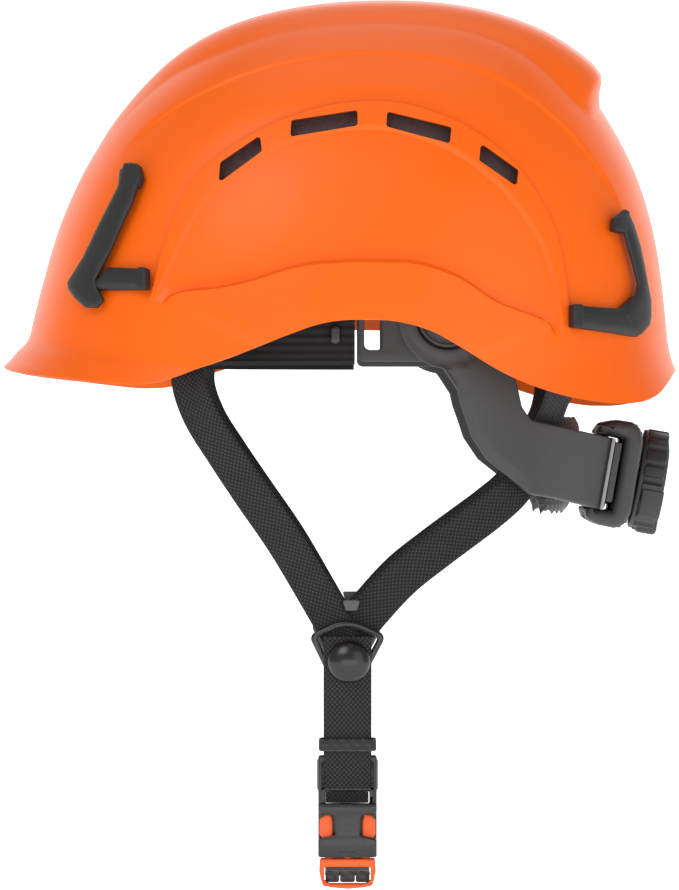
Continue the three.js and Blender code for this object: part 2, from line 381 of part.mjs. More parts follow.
const knobPts = []; for (let i = 0; i < 64; i++) { const t = i * 2 * Math.PI / 64, r = KNOB_R - 1.1 + 1.1 * Math.cos(16 * t); knobPts.push([r * Math.cos(t), r * Math.sin(t)]); }
let knob = prismK(knobPts, 2.8, KNOB_DEPTH + 0.6).add(prismK(circle(KNOB_R - 0.4, 28), 0.9, 2.9)).add(prismK(circle(KNOB_R - 4, 24), KNOB_DEPTH, KNOB_DEPTH + 1.8));
knob = knob.add(prismK(rrect(-7.5, 7.5, -22.5, -8, 3, 3), 4, KNOB_DEPTH + 2.6));
knob = knob.subtract(prismK(circle(13.2, 24), 0, 3.4)).subtract(prismK(circle(4.3, 20), -1, 8.2)).subtract(prismK(circle(1.6, 12), -1, 20)).subtract(prismK(circle(3.6, 16), 10.4, 20));
add('adjuster_knob', knob, DARK, 0.5);
const gear = []; for (let k = 0; k < TEETH; k++) { const c = Math.PI / 2 + k * 2 * Math.PI / TEETH; for (const [d, r] of [[-0.21, 3.75], [-0.075, 5.85], [0.075, 5.85], [0.21, 3.75]]) gear.push([r * Math.cos(c + d), r * Math.sin(c + d)]); }
add('pinion_shaft', prismK(gear, -14.1, -7).add(prismK(circle(6.1, 24), -7.05, 0.5)).add(prismK(circle(4.0, 20), 0.45, 7.9)).subtract(prismK(circle(1.15, 10), 3, 20)), BLACK, 0.5);
add('knob_screw', prismK(circle(0.85, 8), 3.4, 10.8).add(prismK(circle(3.2, 14), 10.7, 12)), STEEL, 0.35, 0.9);
const ring = []; for (let i = 0; i < 40; i++) { const t = i * 2 * Math.PI / 40, r = 12.4 - (i % 2 ? 0.7 : 0); ring.push([r * Math.cos(t), r * Math.sin(t)]); }
add('detent_ring', prismK(ring, 1.1, 3.1, [circle(8.6, 24)]), GREY, 0.4, 0.6);
add('detent_pawl', prismK([[-1.2, 6.9], [1.2, 6.9], [1.2, 8.2], [-1.2, 8.2]], 0.3, 3.0).add(prismK(rect(-4, 4, 6.9, 8.2), 0.3, 0.9)), GREY, 0.4, 0.6);

// ---------- nape pad ----------
const napePlan = smooth([[84, -56, 0], [93, -46, 0], [99.5, -34, 0], [102.5, -18, 0], [103.2, 0, 0], [102.5, 18, 0], [99.5, 34, 0], [93, 46, 0], [84, 56, 0]], 26).map((p) => [p.x - 6.5, p.y * 0.93]);
add('nape_pad', wall(napePlan, (p) => { const w = 1 - sstep(44, 53, Math.abs(p[1])); return [-44 - 19 * w, -34 + 15 * w]; }, 5.4, (x, z) => (z + 45.1) * tanT * 0.7), BLACK, 0.95);

// ---------- strap anchors ----------
function anchor(x, y, z, yaw) {
  const c = Math.cos(yaw), s = Math.sin(yaw);
  return prism(rrect(-11, 11, -6, 7, 2, 2), [x, y, z], [c, s, 0], [0, 0, 1], [-s, c, 0], 2.6, [rect(-8.6, 8.6, -2.2, 1.2)]);
}
const AF = { x: -60, y: -88.2, z: 14, yaw: rad(-24) }, AR = { x: 92, y: -79.5, z: 4, yaw: rad(32) };
for (const [n, a] of [['front', AF], ['rear', AR]]) {
  const m = anchor(a.x, a.y, a.z, a.yaw);
  add(`anchor_${n}_left`, m, BLACK, 0.5);
  add(`anchor_${n}_right`, mirrorY(m), BLACK, 0.5);
}

// ---------- V straps ----------
const frontStrap = ribbon([[-60, -83.0, 19], [-61.2, -83.8, 6], [-62, -86.2, -6], [-57.5, -87, -20], [-47, -85, -37], [-36.6, -82.3, -52.5], [-22.5, -77, -73], [-9.5, -69.15, -95], [-1.5, -69.1, -109], [1.5, -69.1, -114.5]],
  [[-0.4, -0.92, 0], [-0.4, -0.92, 0], [-0.38, -0.92, 0], [-0.35, -0.94, 0], [-0.3, -0.95, 0], [-0.2, -0.98, 0], [-0.1, -1, 0], [0, -1, 0], [0, -1, 0], [0, -1, 0]], V_STRAP_W, STRAP_T, 24);
const rearStrap = ribbon([[91, -75, 10], [92, -74, 0], [91.3, -68, -11], [87.5, -59, -20.5], [84.4, -56.4, -30], [79.5, -58.8, -41], [73.5, -63.5, -50.5], [65, -67.2, -58.3], [40, -70.3, -77], [26, -69.6, -88.2], [12.5, -67.2, -102.8], [6, -67.2, -110.8], [3.2, -67.2, -114.2]],
  [[0.5, -0.86, 0], [0.5, -0.86, 0], [0.5, -0.86, 0], [0.62, -0.78, 0], [0.68, -0.73, 0], [0.6, -0.8, 0], [0.5, -0.86, 0], [0.3, -0.95, 0], [0, -1, 0], [0, -1, 0], [0, -1, 0], [0, -1, 0], [0, -1, 0]], V_STRAP_W, STRAP_T, 32);
for (const [n, m] of [['strap_front', frontStrap], ['strap_rear', rearStrap]]) { add(`${n}_left`, m, WEB, 0.85); add(`${n}_right`, mirrorY(m), WEB, 0.85); }

// ---------- Y adjuster ----------
const yOut = [[-12.8, -111.4], [3.1, -103.8], [19.4, -111.4], [12.6, -124.4], [-6.4, -124.6]];
const yIn = [[-9.3, -112.2], [3.1, -106.9], [15.9, -112.2], [10.9, -121.9], [-4.8, -122]];
const yBuckle = prismY(yOut, -72.9, -70.2, [yIn]);
add('y_buckle_left', yBuckle, BLACK, 0.45);
add('y_buckle_right', mirrorY(yBuckle), BLACK, 0.45);
const yCap = lathe([[0, 0], [3.5, 0.3], [6.2, 1.3], [8, 2.8], [8.7, 4.2], [8.7, 5.4], [0, 5.4]], [3.9, -80.4, -122.3], [0, 1, 0], 28);
add('y_cap_left', yCap, BLACK, 0.4);
add('y_cap_right', mirrorY(yCap), BLACK, 0.4);

// ---------- chin straps ----------
const chinL = ribbon([[STRAP_X, -73.95, -112], [STRAP_X, -73.95, -126], [STRAP_X, -73.1, -131], [STRAP_X, -68.6, -160], [STRAP_X, -67.3, -166.5], [STRAP_X, -66.6, -171.5], [STRAP_X, -66.3, -175]], Array(7).fill([0, -1, 0]), STRAP_W, STRAP_T, 14);
add('chin_strap_left', chinL, WEB, 0.85);
const chinR = ribbon([[STRAP_X, 73.95, -112], [STRAP_X, 73.95, -124], [STRAP_X, 73, -145], [STRAP_X, 70, -168], [STRAP_X, 62.5, -190], [STRAP_X, 47, -204.5], [STRAP_X, 22, -211.5], [STRAP_X, 0, -213], [STRAP_X, -22, -213], [STRAP_X, -42, -212], [STRAP_X, -56, -211], [STRAP_X, -62.2, -210.4]], [[0, 1, 0], [0, 1, 0], [0, 1, 0], [0, 1, 0], [0, 0.9, -0.3], [0, 0.5, -0.8], [0, 0.1, -1], [0, 0, -1], [0, 0, -1], [0, 0, -1], [0, 0, -1], [0, 0, -1]], STRAP_W - 1, STRAP_T, 30);
add('chin_strap_right', chinR, WEB, 0.85);

// ---------- strap keeper ----------
const KEEP_DIR = [0, -0.1535, 0.9881];
const keeper = prism(rrect(-12.6, 12.6, -3.4, 3.4, 1.5, 2), [STRAP_X, -68.76, -159], [1, 0, 0], [0, 0.9881, 0.1535], KEEP_DIR, 5, [rect(-10.9, 10.9, -1.6, 1.6)]);
add('strap_keeper', keeper, BLACK, 0.5);

// ---------- buckle ----------
const B = (pts, y0, y1, holes) => prismY(pts.map((p) => [p[0] + STRAP_X, p[1]]), y0, y1, holes ? holes.map((h) => h.map((p) => [p[0] + STRAP_X, p[1]])) : undefined);
let female = B(rrect(-12.1, 12.1, -203.2, -161.2, 1.6, 3), -BUCKLE_Y - 4.3, -BUCKLE_Y + 4.3);
female = female.subtract(B(rect(-10.6, 10.6, -180.8, -163.6), -90, -60)).subtract(B(rect(-10.6, 10.6, -164, -160), -90, -66.2)).add(B(rect(-11.5, 11.5, -173.4, -170.2), -BUCKLE_Y + 1.2, -BUCKLE_Y + 3.6));
female = female.subtract(B(rect(-11, 11, -210, -183.8), -BUCKLE_Y - 2.6, -BUCKLE_Y + 2.6));
female = female.subtract(B(rect(-20, -5.4, -195.6, -184.4), -BUCKLE_Y - 2.6, -BUCKLE_Y + 2.6)).subtract(B(rect(5.4, 20, -195.6, -184.4), -BUCKLE_Y - 2.6, -BUCKLE_Y + 2.6));
female = female.subtract(B(rect(5.6, 13, -195, -184.8), -90, -BUCKLE_Y - 2)).subtract(B(rect(-13, -5.6, -195, -184.8), -90, -BUCKLE_Y - 2));
add('buckle_female', female, BLACK, 0.5);
let male = B([[-11.4, -203.8], [11.4, -203.8], [11.7, -209], [10.8, -213.2], [7.5, -215.6], [0, -216.3], [-7.5, -215.6], [-10.8, -213.2], [-11.7, -209]], -BUCKLE_Y - 3.6, -BUCKLE_Y + 3.6, [rrect(-9.9, 9.9, -214.0, -206.6, 1, 2)]);
male = male.add(B(rect(-1.6, 1.6, -204, -186), -BUCKLE_Y - 1.8, -BUCKLE_Y + 1.8)).subtract(B(rect(-11, -4.6, -203, -190), -90, -50));
male = male.subtract(B(rect(-9.7, -5.7, -206.2, -200), -BUCKLE_Y - 2, -BUCKLE_Y + 2)).subtract(B(rect(5.7, 9.7, -206.2, -200), -BUCKLE_Y - 2, -BUCKLE_Y + 2));
add('buckle_male', male, ORANGE, 0.45);
for (const [n, s] of [['prong_left', -1], ['prong_right', 1]])
  add(n, B([[6.2, -205.6], [9.2, -205.6], [9.6, -199], [10.4, -195.5], [10.4, -188], [9, -185.6], [6.6, -185.6], [6, -189]].map((p) => [p[0] * s, p[1]]), -BUCKLE_Y - 1.7, -BUCKLE_Y + 1.7), ORANGE, 0.45);

export default group;
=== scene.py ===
"""Looks of the climbing helmet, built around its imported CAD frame. Metres, +Z up, -X is the front."""
import bpy, bmesh, functools, math
import numpy as np
from mathutils import Vector, Matrix
from mathutils.geometry import delaunay_2d_cdt


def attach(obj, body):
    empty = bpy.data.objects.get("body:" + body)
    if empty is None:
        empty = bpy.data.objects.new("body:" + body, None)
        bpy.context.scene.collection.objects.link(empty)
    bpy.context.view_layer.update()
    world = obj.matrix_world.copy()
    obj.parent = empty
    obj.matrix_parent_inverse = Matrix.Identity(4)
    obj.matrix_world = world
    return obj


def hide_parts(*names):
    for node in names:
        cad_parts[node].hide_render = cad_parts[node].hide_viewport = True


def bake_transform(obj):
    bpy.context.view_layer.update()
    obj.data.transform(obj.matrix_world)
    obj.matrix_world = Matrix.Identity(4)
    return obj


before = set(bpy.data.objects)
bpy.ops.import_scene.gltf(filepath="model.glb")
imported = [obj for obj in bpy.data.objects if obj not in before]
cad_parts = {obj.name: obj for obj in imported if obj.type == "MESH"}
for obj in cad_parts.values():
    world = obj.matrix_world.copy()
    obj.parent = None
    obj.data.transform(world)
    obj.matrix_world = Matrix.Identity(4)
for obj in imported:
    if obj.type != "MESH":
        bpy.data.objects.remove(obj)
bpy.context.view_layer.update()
MM = 0.001
RAD = math.pi / 180

# ------------------------------------------------------------------ camera and light
cam_data = bpy.data.cameras.new("camera")
cam = bpy.data.objects.new("camera", cam_data)
bpy.context.scene.collection.objects.link(cam)
cam.location = (0, -2.4, -0.033)
cam.rotation_euler = (math.pi / 2, 0, 0)
cam_data.sensor_width = 36
cam_data.lens = 228.4
cam_data.clip_end = 50
bpy.context.scene.camera = cam


def area(name, loc, target, size, power, color=(1, 1, 1), size_y=None):
    d = bpy.data.lights.new(name, "AREA")
    d.energy, d.color, d.size = power, color, size
    if size_y:
        d.shape, d.size_y = "RECTANGLE", size_y
    o = bpy.data.objects.new(name, d)
    o.location = loc
    o.rotation_euler = (Vector(target) - Vector(loc)).to_track_quat("-Z", "Y").to_euler()
    bpy.context.scene.collection.objects.link(o)
    return o


area("key", (-0.9, -1.7, 1.5), (0, 0, 0.03), 1.2, 15)
area("fill", (1.3, -1.9, 0.5), (0, 0, 0), 1.5, 6.5)
area("top", (0.05, 0.1, 1.7), (0, 0, 0), 1.3, 5)
area("low", (0.0, -1.6, -0.15), (0, 0, -0.05), 1.4, 2.6, size_y=0.25)
area("back", (0.5, 1.6, 0.9), (0, 0, 0.05), 1.3, 2.5)
world = bpy.data.worlds.new("studio")
bpy.context.scene.world = world
world.use_nodes = True
world.node_tree.nodes["Background"].inputs[0].default_value = (1, 1, 1, 1)
world.node_tree.nodes["Background"].inputs[1].default_value = 0.34
bpy.context.scene.view_settings.view_transform = "Standard"


# ------------------------------------------------------------------ materials
class Mat:
    def __init__(self, name):
        self.m = bpy.data.materials.new(name)
        self.m.use_nodes = True
        self.t = self.m.node_tree
        self.b = self.t.nodes["Principled BSDF"]

    def n(self, kind, **kw):
        node = self.t.nodes.new(kind)
        for k, v in kw.items():
            if k in node.inputs and not hasattr(node, k):
                node.inputs[k].default_value = v
            elif hasattr(node, k):
                setattr(node, k, v)
            else:
                node.inputs[k].default_value = v
        return node

    def l(self, a, b):
        self.t.links.new(a, b)

    def coord(self, kind="Object"):
        return self.n("ShaderNodeTexCoord").outputs[kind]

    def noise(self, vec, scale, detail=3, rough=0.5):
        x = self.n("ShaderNodeTexNoise")
        x.inputs["Scale"].default_value = scale
        x.inputs["Detail"].default_value = detail
        x.inputs["Roughness"].default_value = rough
        self.l(vec, x.inputs["Vector"])
        return x.outputs["Fac"]

    def math(self, op, a, b=None, c=None):
        x = self.n("ShaderNodeMath", operation=op)
        for i, v in enumerate((a, b, c)):
            if v is None:
                continue
            if isinstance(v, (int, float)):
                x.inputs[i].default_value = v
            else:
                self.l(v, x.inputs[i])
        return x.outputs[0]

    def ramp(self, fac, stops):
        x = self.n("ShaderNodeValToRGB")
        e = x.color_ramp.elements
        while len(e) < len(stops):
            e.new(0.5)
        for i, (p, c) in enumerate(stops):
            e[i].position = p
            e[i].color = (c, c, c, 1) if isinstance(c, (int, float)) else (*c, 1)
        self.l(fac, x.inputs[0])
        return x.outputs[0]

    def mix(self, fac, a, b, blend="MIX"):
        x = self.n("ShaderNodeMix", data_type="RGBA", blend_type=blend)
        for sock, v in ((x.inputs[0], fac), (x.inputs[6], a), (x.inputs[7], b)):
            if isinstance(v, (int, float)):
                sock.default_value = v
            elif isinstance(v, tuple):
                sock.default_value = (*v, 1)
            else:
                self.l(v, sock)
        return x.outputs[2]

    def bump(self, height, strength, dist, normal=None):
        x = self.n("ShaderNodeBump")
        x.inputs["Strength"].default_value = strength
        x.inputs["Distance"].default_value = dist
        self.l(height, x.inputs["Height"])
        if normal is not None:
            self.l(normal, x.inputs["Normal"])
        return x.outputs[0]


def plastic(name, col, rough, grain=900, bump=0.12, var=0.05, coat=0.0, spec=0.5, edge_highlight=0.25, bevel=0.0, peel=0.0):
    """Moulded plastic: fine texture, slight tone drift, painted highlight on convex edges."""
    m = Mat(name)
    co = m.coord()
    drift = m.noise(co, 18, 4)
    fine = m.noise(co, grain, 3, 0.6)
    lo = tuple(c * (1 - var) for c in col)
    hi = tuple(min(1, c * (1 + var)) for c in col)
    base = m.mix(drift, lo, hi)
    geo = m.n("ShaderNodeNewGeometry")
    # convex edges lightened from pointiness: a painted highlight along the edges
    edge = m.ramp(geo.outputs["Pointiness"], [(0.5, 0.0), (0.56, 0.0), (0.66, edge_highlight)])
    base = m.mix(edge, base, tuple(min(1, c * 1.5 + 0.03) for c in col))
    m.l(base, m.b.inputs["Base Color"])
    r = m.math("ADD", m.math("MULTIPLY", fine, 0.10), rough - 0.05)
    r = m.math("ADD", r, m.math("MULTIPLY", m.noise(co, 40, 3), 0.05))
    m.l(r, m.b.inputs["Roughness"])
    m.b.inputs["Specular IOR Level"].default_value = spec
    m.b.inputs["Coat Weight"].default_value = coat
    m.b.inputs["Coat Roughness"].default_value = 0.22
    nrm = m.bump(fine, bump, 0.0002)
    if peel:
        nrm = m.bump(m.noise(co, 120, 2), peel, 0.0006, nrm)
    m.l(nrm, m.b.inputs["Normal"])
    return m.m


def webbing(name, col=(0.022, 0.023, 0.026), light=(0.085, 0.088, 0.095), sx=0.00105, sy=0.0016, edge=True, width=0.02):
    """Woven polyester tape. The UV map holds metres across and along the tape."""
    m = Mat(name)
    uv = m.n("ShaderNodeUVMap").outputs[0]
    sep = m.n("ShaderNodeSeparateXYZ")
    m.l(uv, sep.inputs[0])
    u, v = sep.outputs[0], sep.outputs[1]
    # alternating yarn bumps: two interleaved rows
    a = m.math("SINE", m.math("MULTIPLY", u, 2 * math.pi / sx))
    b = m.math("SINE", m.math("MULTIPLY", v, 2 * math.pi / sy))
    weave = m.math("MULTIPLY", a, b)
    weave = m.math("ADD", m.math("MULTIPLY", weave, 0.5), 0.5)
    rib = m.math("ABSOLUTE", m.math("SINE", m.math("MULTIPLY", u, math.pi / (sx * 2))))
    fuzz = m.noise(m.coord(), 2600, 3, 0.7)
    patch = m.noise(m.coord(), 60, 3)
    h = m.math("ADD", m.math("ADD", m.math("MULTIPLY", weave, 0.7), m.math("MULTIPLY", rib, 0.35)), m.math("MULTIPLY", fuzz, 0.25))
    # lighter specks on the yarn crests: painted glints
    yarn_glint = m.ramp(m.math("MULTIPLY", weave, m.math("ADD", fuzz, 0.35)), [(0.35, 0.0), (0.62, 0.55), (0.9, 1.0)])
    base = m.mix(yarn_glint, col, light)
    base = m.mix(m.math("MULTIPLY", patch, 0.35), base, tuple(c * 0.45 for c in col))
    m.l(base, m.b.inputs["Base Color"])
    m.l(m.math("ADD", m.math("MULTIPLY", fuzz, 0.15), 0.62), m.b.inputs["Roughness"])
    m.b.inputs["Sheen Weight"].default_value = 0.04
    m.b.inputs["Sheen Roughness"].default_value = 0.5
    m.b.inputs["Specular IOR Level"].default_value = 0.3
    m.l(m.bump(h, 0.85, 0.00035), m.b.inputs["Normal"])
    return m.m


def foam_mat(name, col, scale=420, depth=0.0004, cells=True):
    m = Mat(name)
    co = m.coord()
    vo = m.n("ShaderNodeTexVoronoi")
    vo.inputs["Scale"].default_value = scale
    m.l(co, vo.inputs["Vector"])
    fine = m.noise(co, scale * 4, 3)
    base = m.mix(m.ramp(vo.outputs["Distance"], [(0.0, 0.7), (0.6, 0.1)]), tuple(c * 0.7 for c in col), tuple(c * 1.5 for c in col))
    base = m.mix(m.math("MULTIPLY", m.noise(co, 30, 3), 0.4), base, tuple(c * 0.6 for c in col))
    m.l(base, m.b.inputs["Base Color"])
    m.l(m.math("ADD", m.math("MULTIPLY", fine, 0.2), 0.72), m.b.inputs["Roughness"])
    m.b.inputs["Sheen Weight"].default_value = 0.15
    hgt = m.math("ADD", m.math("MULTIPLY", vo.outputs["Distance"], -0.8), m.math("MULTIPLY", fine, 0.3))
    m.l(m.bump(hgt, 0.7, depth), m.b.inputs["Normal"])
    return m.m


def knit_mat(name, col, scale=900.0):
    """Soft knitted padding cover."""
    m = Mat(name)
    co = m.coord()
    w1 = m.n("ShaderNodeTexWave", wave_type="BANDS", bands_direction="Z")
    w1.inputs["Scale"].default_value = scale / 6.28
    w1.inputs["Distortion"].default_value = 1.2
    w1.inputs["Detail"].default_value = 2
    m.l(co, w1.inputs["Vector"])
    w2 = m.n("ShaderNodeTexWave", wave_type="BANDS", bands_direction="DIAGONAL")
    w2.inputs["Scale"].default_value = scale / 6.28
    w2.inputs["Distortion"].default_value = 1.2
    m.l(co, w2.inputs["Vector"])
    h = m.math("MULTIPLY", w1.outputs["Fac"], w2.outputs["Fac"])
    fuzz = m.noise(co, 2500, 3, 0.7)
    base = m.mix(h, tuple(c * 0.55 for c in col), tuple(c * 1.7 for c in col))
    base = m.mix(m.math("MULTIPLY", m.noise(co, 45, 3), 0.4), base, tuple(c * 0.5 for c in col))
    m.l(base, m.b.inputs["Base Color"])
    m.l(m.math("ADD", m.math("MULTIPLY", fuzz, 0.15), 0.75), m.b.inputs["Roughness"])
    m.b.inputs["Sheen Weight"].default_value = 0.4
    m.l(m.bump(m.math("ADD", h, m.math("MULTIPLY", fuzz, 0.5)), 0.7, 0.0003), m.b.inputs["Normal"])
    return m.m


def mesh_mat(name):
    """Fine insect mesh: dark grid with small bright crossings, which are painted glints."""
    m = Mat(name)
    co = m.coord()
    sep = m.n("ShaderNodeSeparateXYZ")
    m.l(co, sep.inputs[0])
    x, z = sep.outputs[0], sep.outputs[2]
    p = 2 * math.pi / 0.0017
    a = m.math("SINE", m.math("MULTIPLY", m.math("ADD", x, z), p))
    b = m.math("SINE", m.math("MULTIPLY", m.math("SUBTRACT", x, z), p))
    g = m.math("MAXIMUM", m.math("ABSOLUTE", a), m.math("ABSOLUTE", b))
    wires = m.ramp(g, [(0.55, 0.0), (0.9, 1.0)])
    n = m.noise(co, 700, 2)
    base = m.mix(wires, (0.003, 0.003, 0.003), (0.05, 0.05, 0.055))
    # bright spots on the wire crossings: painted glints
    base = m.mix(m.math("MULTIPLY", m.math("MULTIPLY", m.math("ABSOLUTE", a), m.math("ABSOLUTE", b)), m.math("MULTIPLY", n, 0.55)), base, (0.35, 0.36, 0.38))
    m.l(base, m.b.inputs["Base Color"])
    m.b.inputs["Roughness"].default_value = 0.55
    m.l(m.bump(wires, 0.9, 0.0004), m.b.inputs["Normal"])
    return m.m


def metal(name):
    m = Mat(name)
    co = m.coord()
    n = m.noise(co, 600, 4, 0.6)
    m.l(m.mix(n, (0.35, 0.35, 0.37), (0.6, 0.6, 0.62)), m.b.inputs["Base Color"])
    m.b.inputs["Metallic"].default_value = 1.0
    m.l(m.math("ADD", m.math("MULTIPLY", n, 0.2), 0.28), m.b.inputs["Roughness"])
    m.l(m.bump(n, 0.15, 0.0002), m.b.inputs["Normal"])
    return m.m


ORANGE = plastic("shell_abs", (0.96, 0.136, 0.004), 0.34, grain=1400, bump=0.05, var=0.03, coat=0.05, spec=0.24, edge_highlight=0.12, peel=0.05)
ORANGE_B = plastic("buckle_nylon", (0.93, 0.115, 0.010), 0.42, grain=1100, bump=0.12, var=0.04, edge_highlight=0.2)
GREY = plastic("moulded_grey", (0.044, 0.045, 0.047), 0.50, grain=1000, bump=0.22, var=0.08, edge_highlight=0.35)
# lighter copy of the arm grey: painted highlight for the strip where each arm bends away
ARM_BEND_HIGHLIGHT = plastic("arm_bend_painted_highlight", (0.30, 0.305, 0.31), 0.48, grain=1000, bump=0.2, var=0.06, edge_highlight=0.3)
GREY_L2 = plastic("keeper_grey", (0.085, 0.086, 0.09), 0.5, grain=1000, bump=0.2, var=0.06, edge_highlight=0.3)
GREY_K = plastic("knob_grey", (0.030, 0.031, 0.033), 0.46, grain=900, bump=0.22, var=0.08, edge_highlight=0.4)
BLACK = plastic("moulded_black", (0.012, 0.0122, 0.013), 0.44, grain=1000, bump=0.22, var=0.1, edge_highlight=0.3)
BLACK_G = plastic("gloss_black", (0.008, 0.0082, 0.009), 0.24, grain=800, bump=0.05, var=0.1, edge_highlight=0.15, coat=0.2)
CLIP = plastic("clip_black", (0.015, 0.0153, 0.0165), 0.5, grain=1000, bump=0.25, var=0.1, edge_highlight=0.35)
WEB = webbing("woven_tape", col=(0.007, 0.0075, 0.0085), light=(0.05, 0.052, 0.056), sx=0.0019, sy=0.0022)
WEB_RIB = webbing("ribbed_tape", col=(0.007, 0.0075, 0.0085), sx=0.0016, sy=0.0026, light=(0.03, 0.031, 0.034))
FOAM = foam_mat("expanded_foam", (0.03, 0.031, 0.034))
KNIT_L = knit_mat("stitched_webbing", (0.05, 0.052, 0.056))
KNIT = knit_mat("pad_knit", (0.022, 0.023, 0.026))
MESH = mesh_mat("vent_netting")
STEEL = metal("screw_steel")


def floor_mat():
    m = Mat("studio_floor")
    co = m.coord()
    n = m.noise(co, 6, 3)
    m.l(m.mix(n, (0.90, 0.90, 0.90), (0.93, 0.93, 0.93)), m.b.inputs["Base Color"])
    m.b.inputs["Roughness"].default_value = 0.9
    m.b.inputs["Specular IOR Level"].default_value = 0.1
    m.b.inputs["Emission Color"].default_value = (1, 1, 1, 1)
    m.b.inputs["Emission Strength"].default_value = 0.78
    return m.m


# ------------------------------------------------------------------ mesh helpers
def mk(name, verts, faces, mat, body="helmet", node=None, sharp=38, slot=None, uvs=None, recalc=True):
    me = bpy.data.meshes.new(name)
    me.from_pydata([tuple(v) for v in verts], [], [tuple(f) for f in faces])
    me.materials.append(mat)
    o = bpy.data.objects.new(name, me)
    bpy.context.scene.collection.objects.link(o)
    if uvs is not None:
        layer = me.uv_layers.new(name="UVMap")
        for lp in me.loops:
            layer.data[lp.index].uv = uvs[lp.vertex_index]
    if recalc:
        bm = bmesh.new()
        bm.from_mesh(me)
        bmesh.ops.recalc_face_normals(bm, faces=bm.faces)
        bm.to_mesh(me)
        bm.free()
    me.shade_smooth()
    me.set_sharp_from_angle(angle=sharp * RAD)
    if body:
        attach(o, body)
    if node:
        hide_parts(*([node] if isinstance(node, str) else node))
    return o


def merge(parts):
    """[(verts, faces)] into one."""
    V, F = [], []
    for v, f in parts:
        k = len(V)
        V += [tuple(p) for p in v]
        F += [tuple(i + k for i in q) for q in f]
    return V, F


def mirror(vf):
    v, f = vf
    return [(p[0], -p[1], p[2]) for p in v], [tuple(reversed(q)) for q in f]


def both(name, make, mat, node, **kw):
    """A left piece and its mirror image on the right."""
    vf = make()
    objs = []
    for side in ("left", "right"):
        w = vf if side == "left" else mirror(vf)
        body = kw.get("body", "helmet")
        body = body[side] if isinstance(body, dict) else body
        k = {a: b for a, b in kw.items() if a != "body"}
        objs.append(mk(f"{name}_{side}", w[0], w[1], mat, body=body, node=f"{node}_{side}" if node else None, **k))
    return objs


def resample(pts, step, closed=True):
    p = np.array(pts, float)
    if closed:
        p = np.vstack([p, p[:1]])
    seg = np.linalg.norm(np.diff(p, axis=0), axis=1)
    out = []
    for i in range(len(seg)):
        n = max(1, int(math.ceil(seg[i] / step)))
        for k in range(n):
            out.append(p[i] + (p[i + 1] - p[i]) * k / n)
    if not closed:
        out.append(p[-1])
    return np.array(out)


def round_poly(pts, r, step=0.6):
    """Rounds the corners of a closed polygon; r is one radius or one per corner."""
    n = len(pts)
    R = r if isinstance(r, (list, tuple)) else [r] * n
    out = []
    for i in range(n):
        p0, p1, p2 = (np.array(pts[(i + k) % n], float) for k in (-1, 0, 1))
        a, b = p0 - p1, p2 - p1
        la, lb = np.linalg.norm(a), np.linalg.norm(b)
        a, b = a / la, b / lb
        ang = math.acos(max(-1, min(1, float(a @ b))))
        if R[i] <= 0 or ang > math.pi - 0.02:
            out.append(p1)
            continue
        t = min(R[i] / math.tan(ang / 2), la * 0.48, lb * 0.48)
        rr = t * math.tan(ang / 2)
        c = p1 + (a + b) / np.linalg.norm(a + b) * (rr / math.sin(ang / 2))
        s, e = p1 + a * t, p1 + b * t
        t0 = math.atan2(*(s - c)[::-1])
        t1 = math.atan2(*(e - c)[::-1])
        d = (t1 - t0 + math.pi) % (2 * math.pi) - math.pi
        k = max(2, int(abs(d) * rr / step) + 1, int(abs(d) / 0.35) + 1)
        for j in range(k + 1):
            q = t0 + d * j / k
            out.append(c + rr * np.array([math.cos(q), math.sin(q)]))
    o = np.array(out)
    keep = [i for i in range(len(o)) if np.linalg.norm(o[i] - o[i - 1]) > 1e-4]
    return o[keep]


def spline_closed(pts, n):
    """Closed Catmull-Rom through the points."""
    p = np.array(pts, float)
    m = len(p)
    out = []
    for i in range(m):
        a, b, c, d = p[(i - 1) % m], p[i], p[(i + 1) % m], p[(i + 2) % m]
        for k in range(n):
            t = k / n
            out.append(0.5 * (2 * b + (c - a) * t + (2 * a - 5 * b + 4 * c - d) * t * t + (3 * b - a - 3 * c + d) * t ** 3))
    return np.array(out)


def area2(p):
    x, y = p[:, 0], p[:, 1]
    return 0.5 * float(np.sum(x * np.roll(y, -1) - np.roll(x, -1) * y))


def inset(p, d):
    """Offsets a counter-clockwise outline inwards by d."""
    e = np.roll(p, -1, 0) - p
    e /= np.maximum(np.linalg.norm(e, axis=1)[:, None], 1e-9)
    n = np.stack([-e[:, 1], e[:, 0]], 1)
    m = n + np.roll(n, 1, 0)
    L = np.maximum((m ** 2).sum(1) / 2, 0.35)
    return p + m / L[:, None] * d


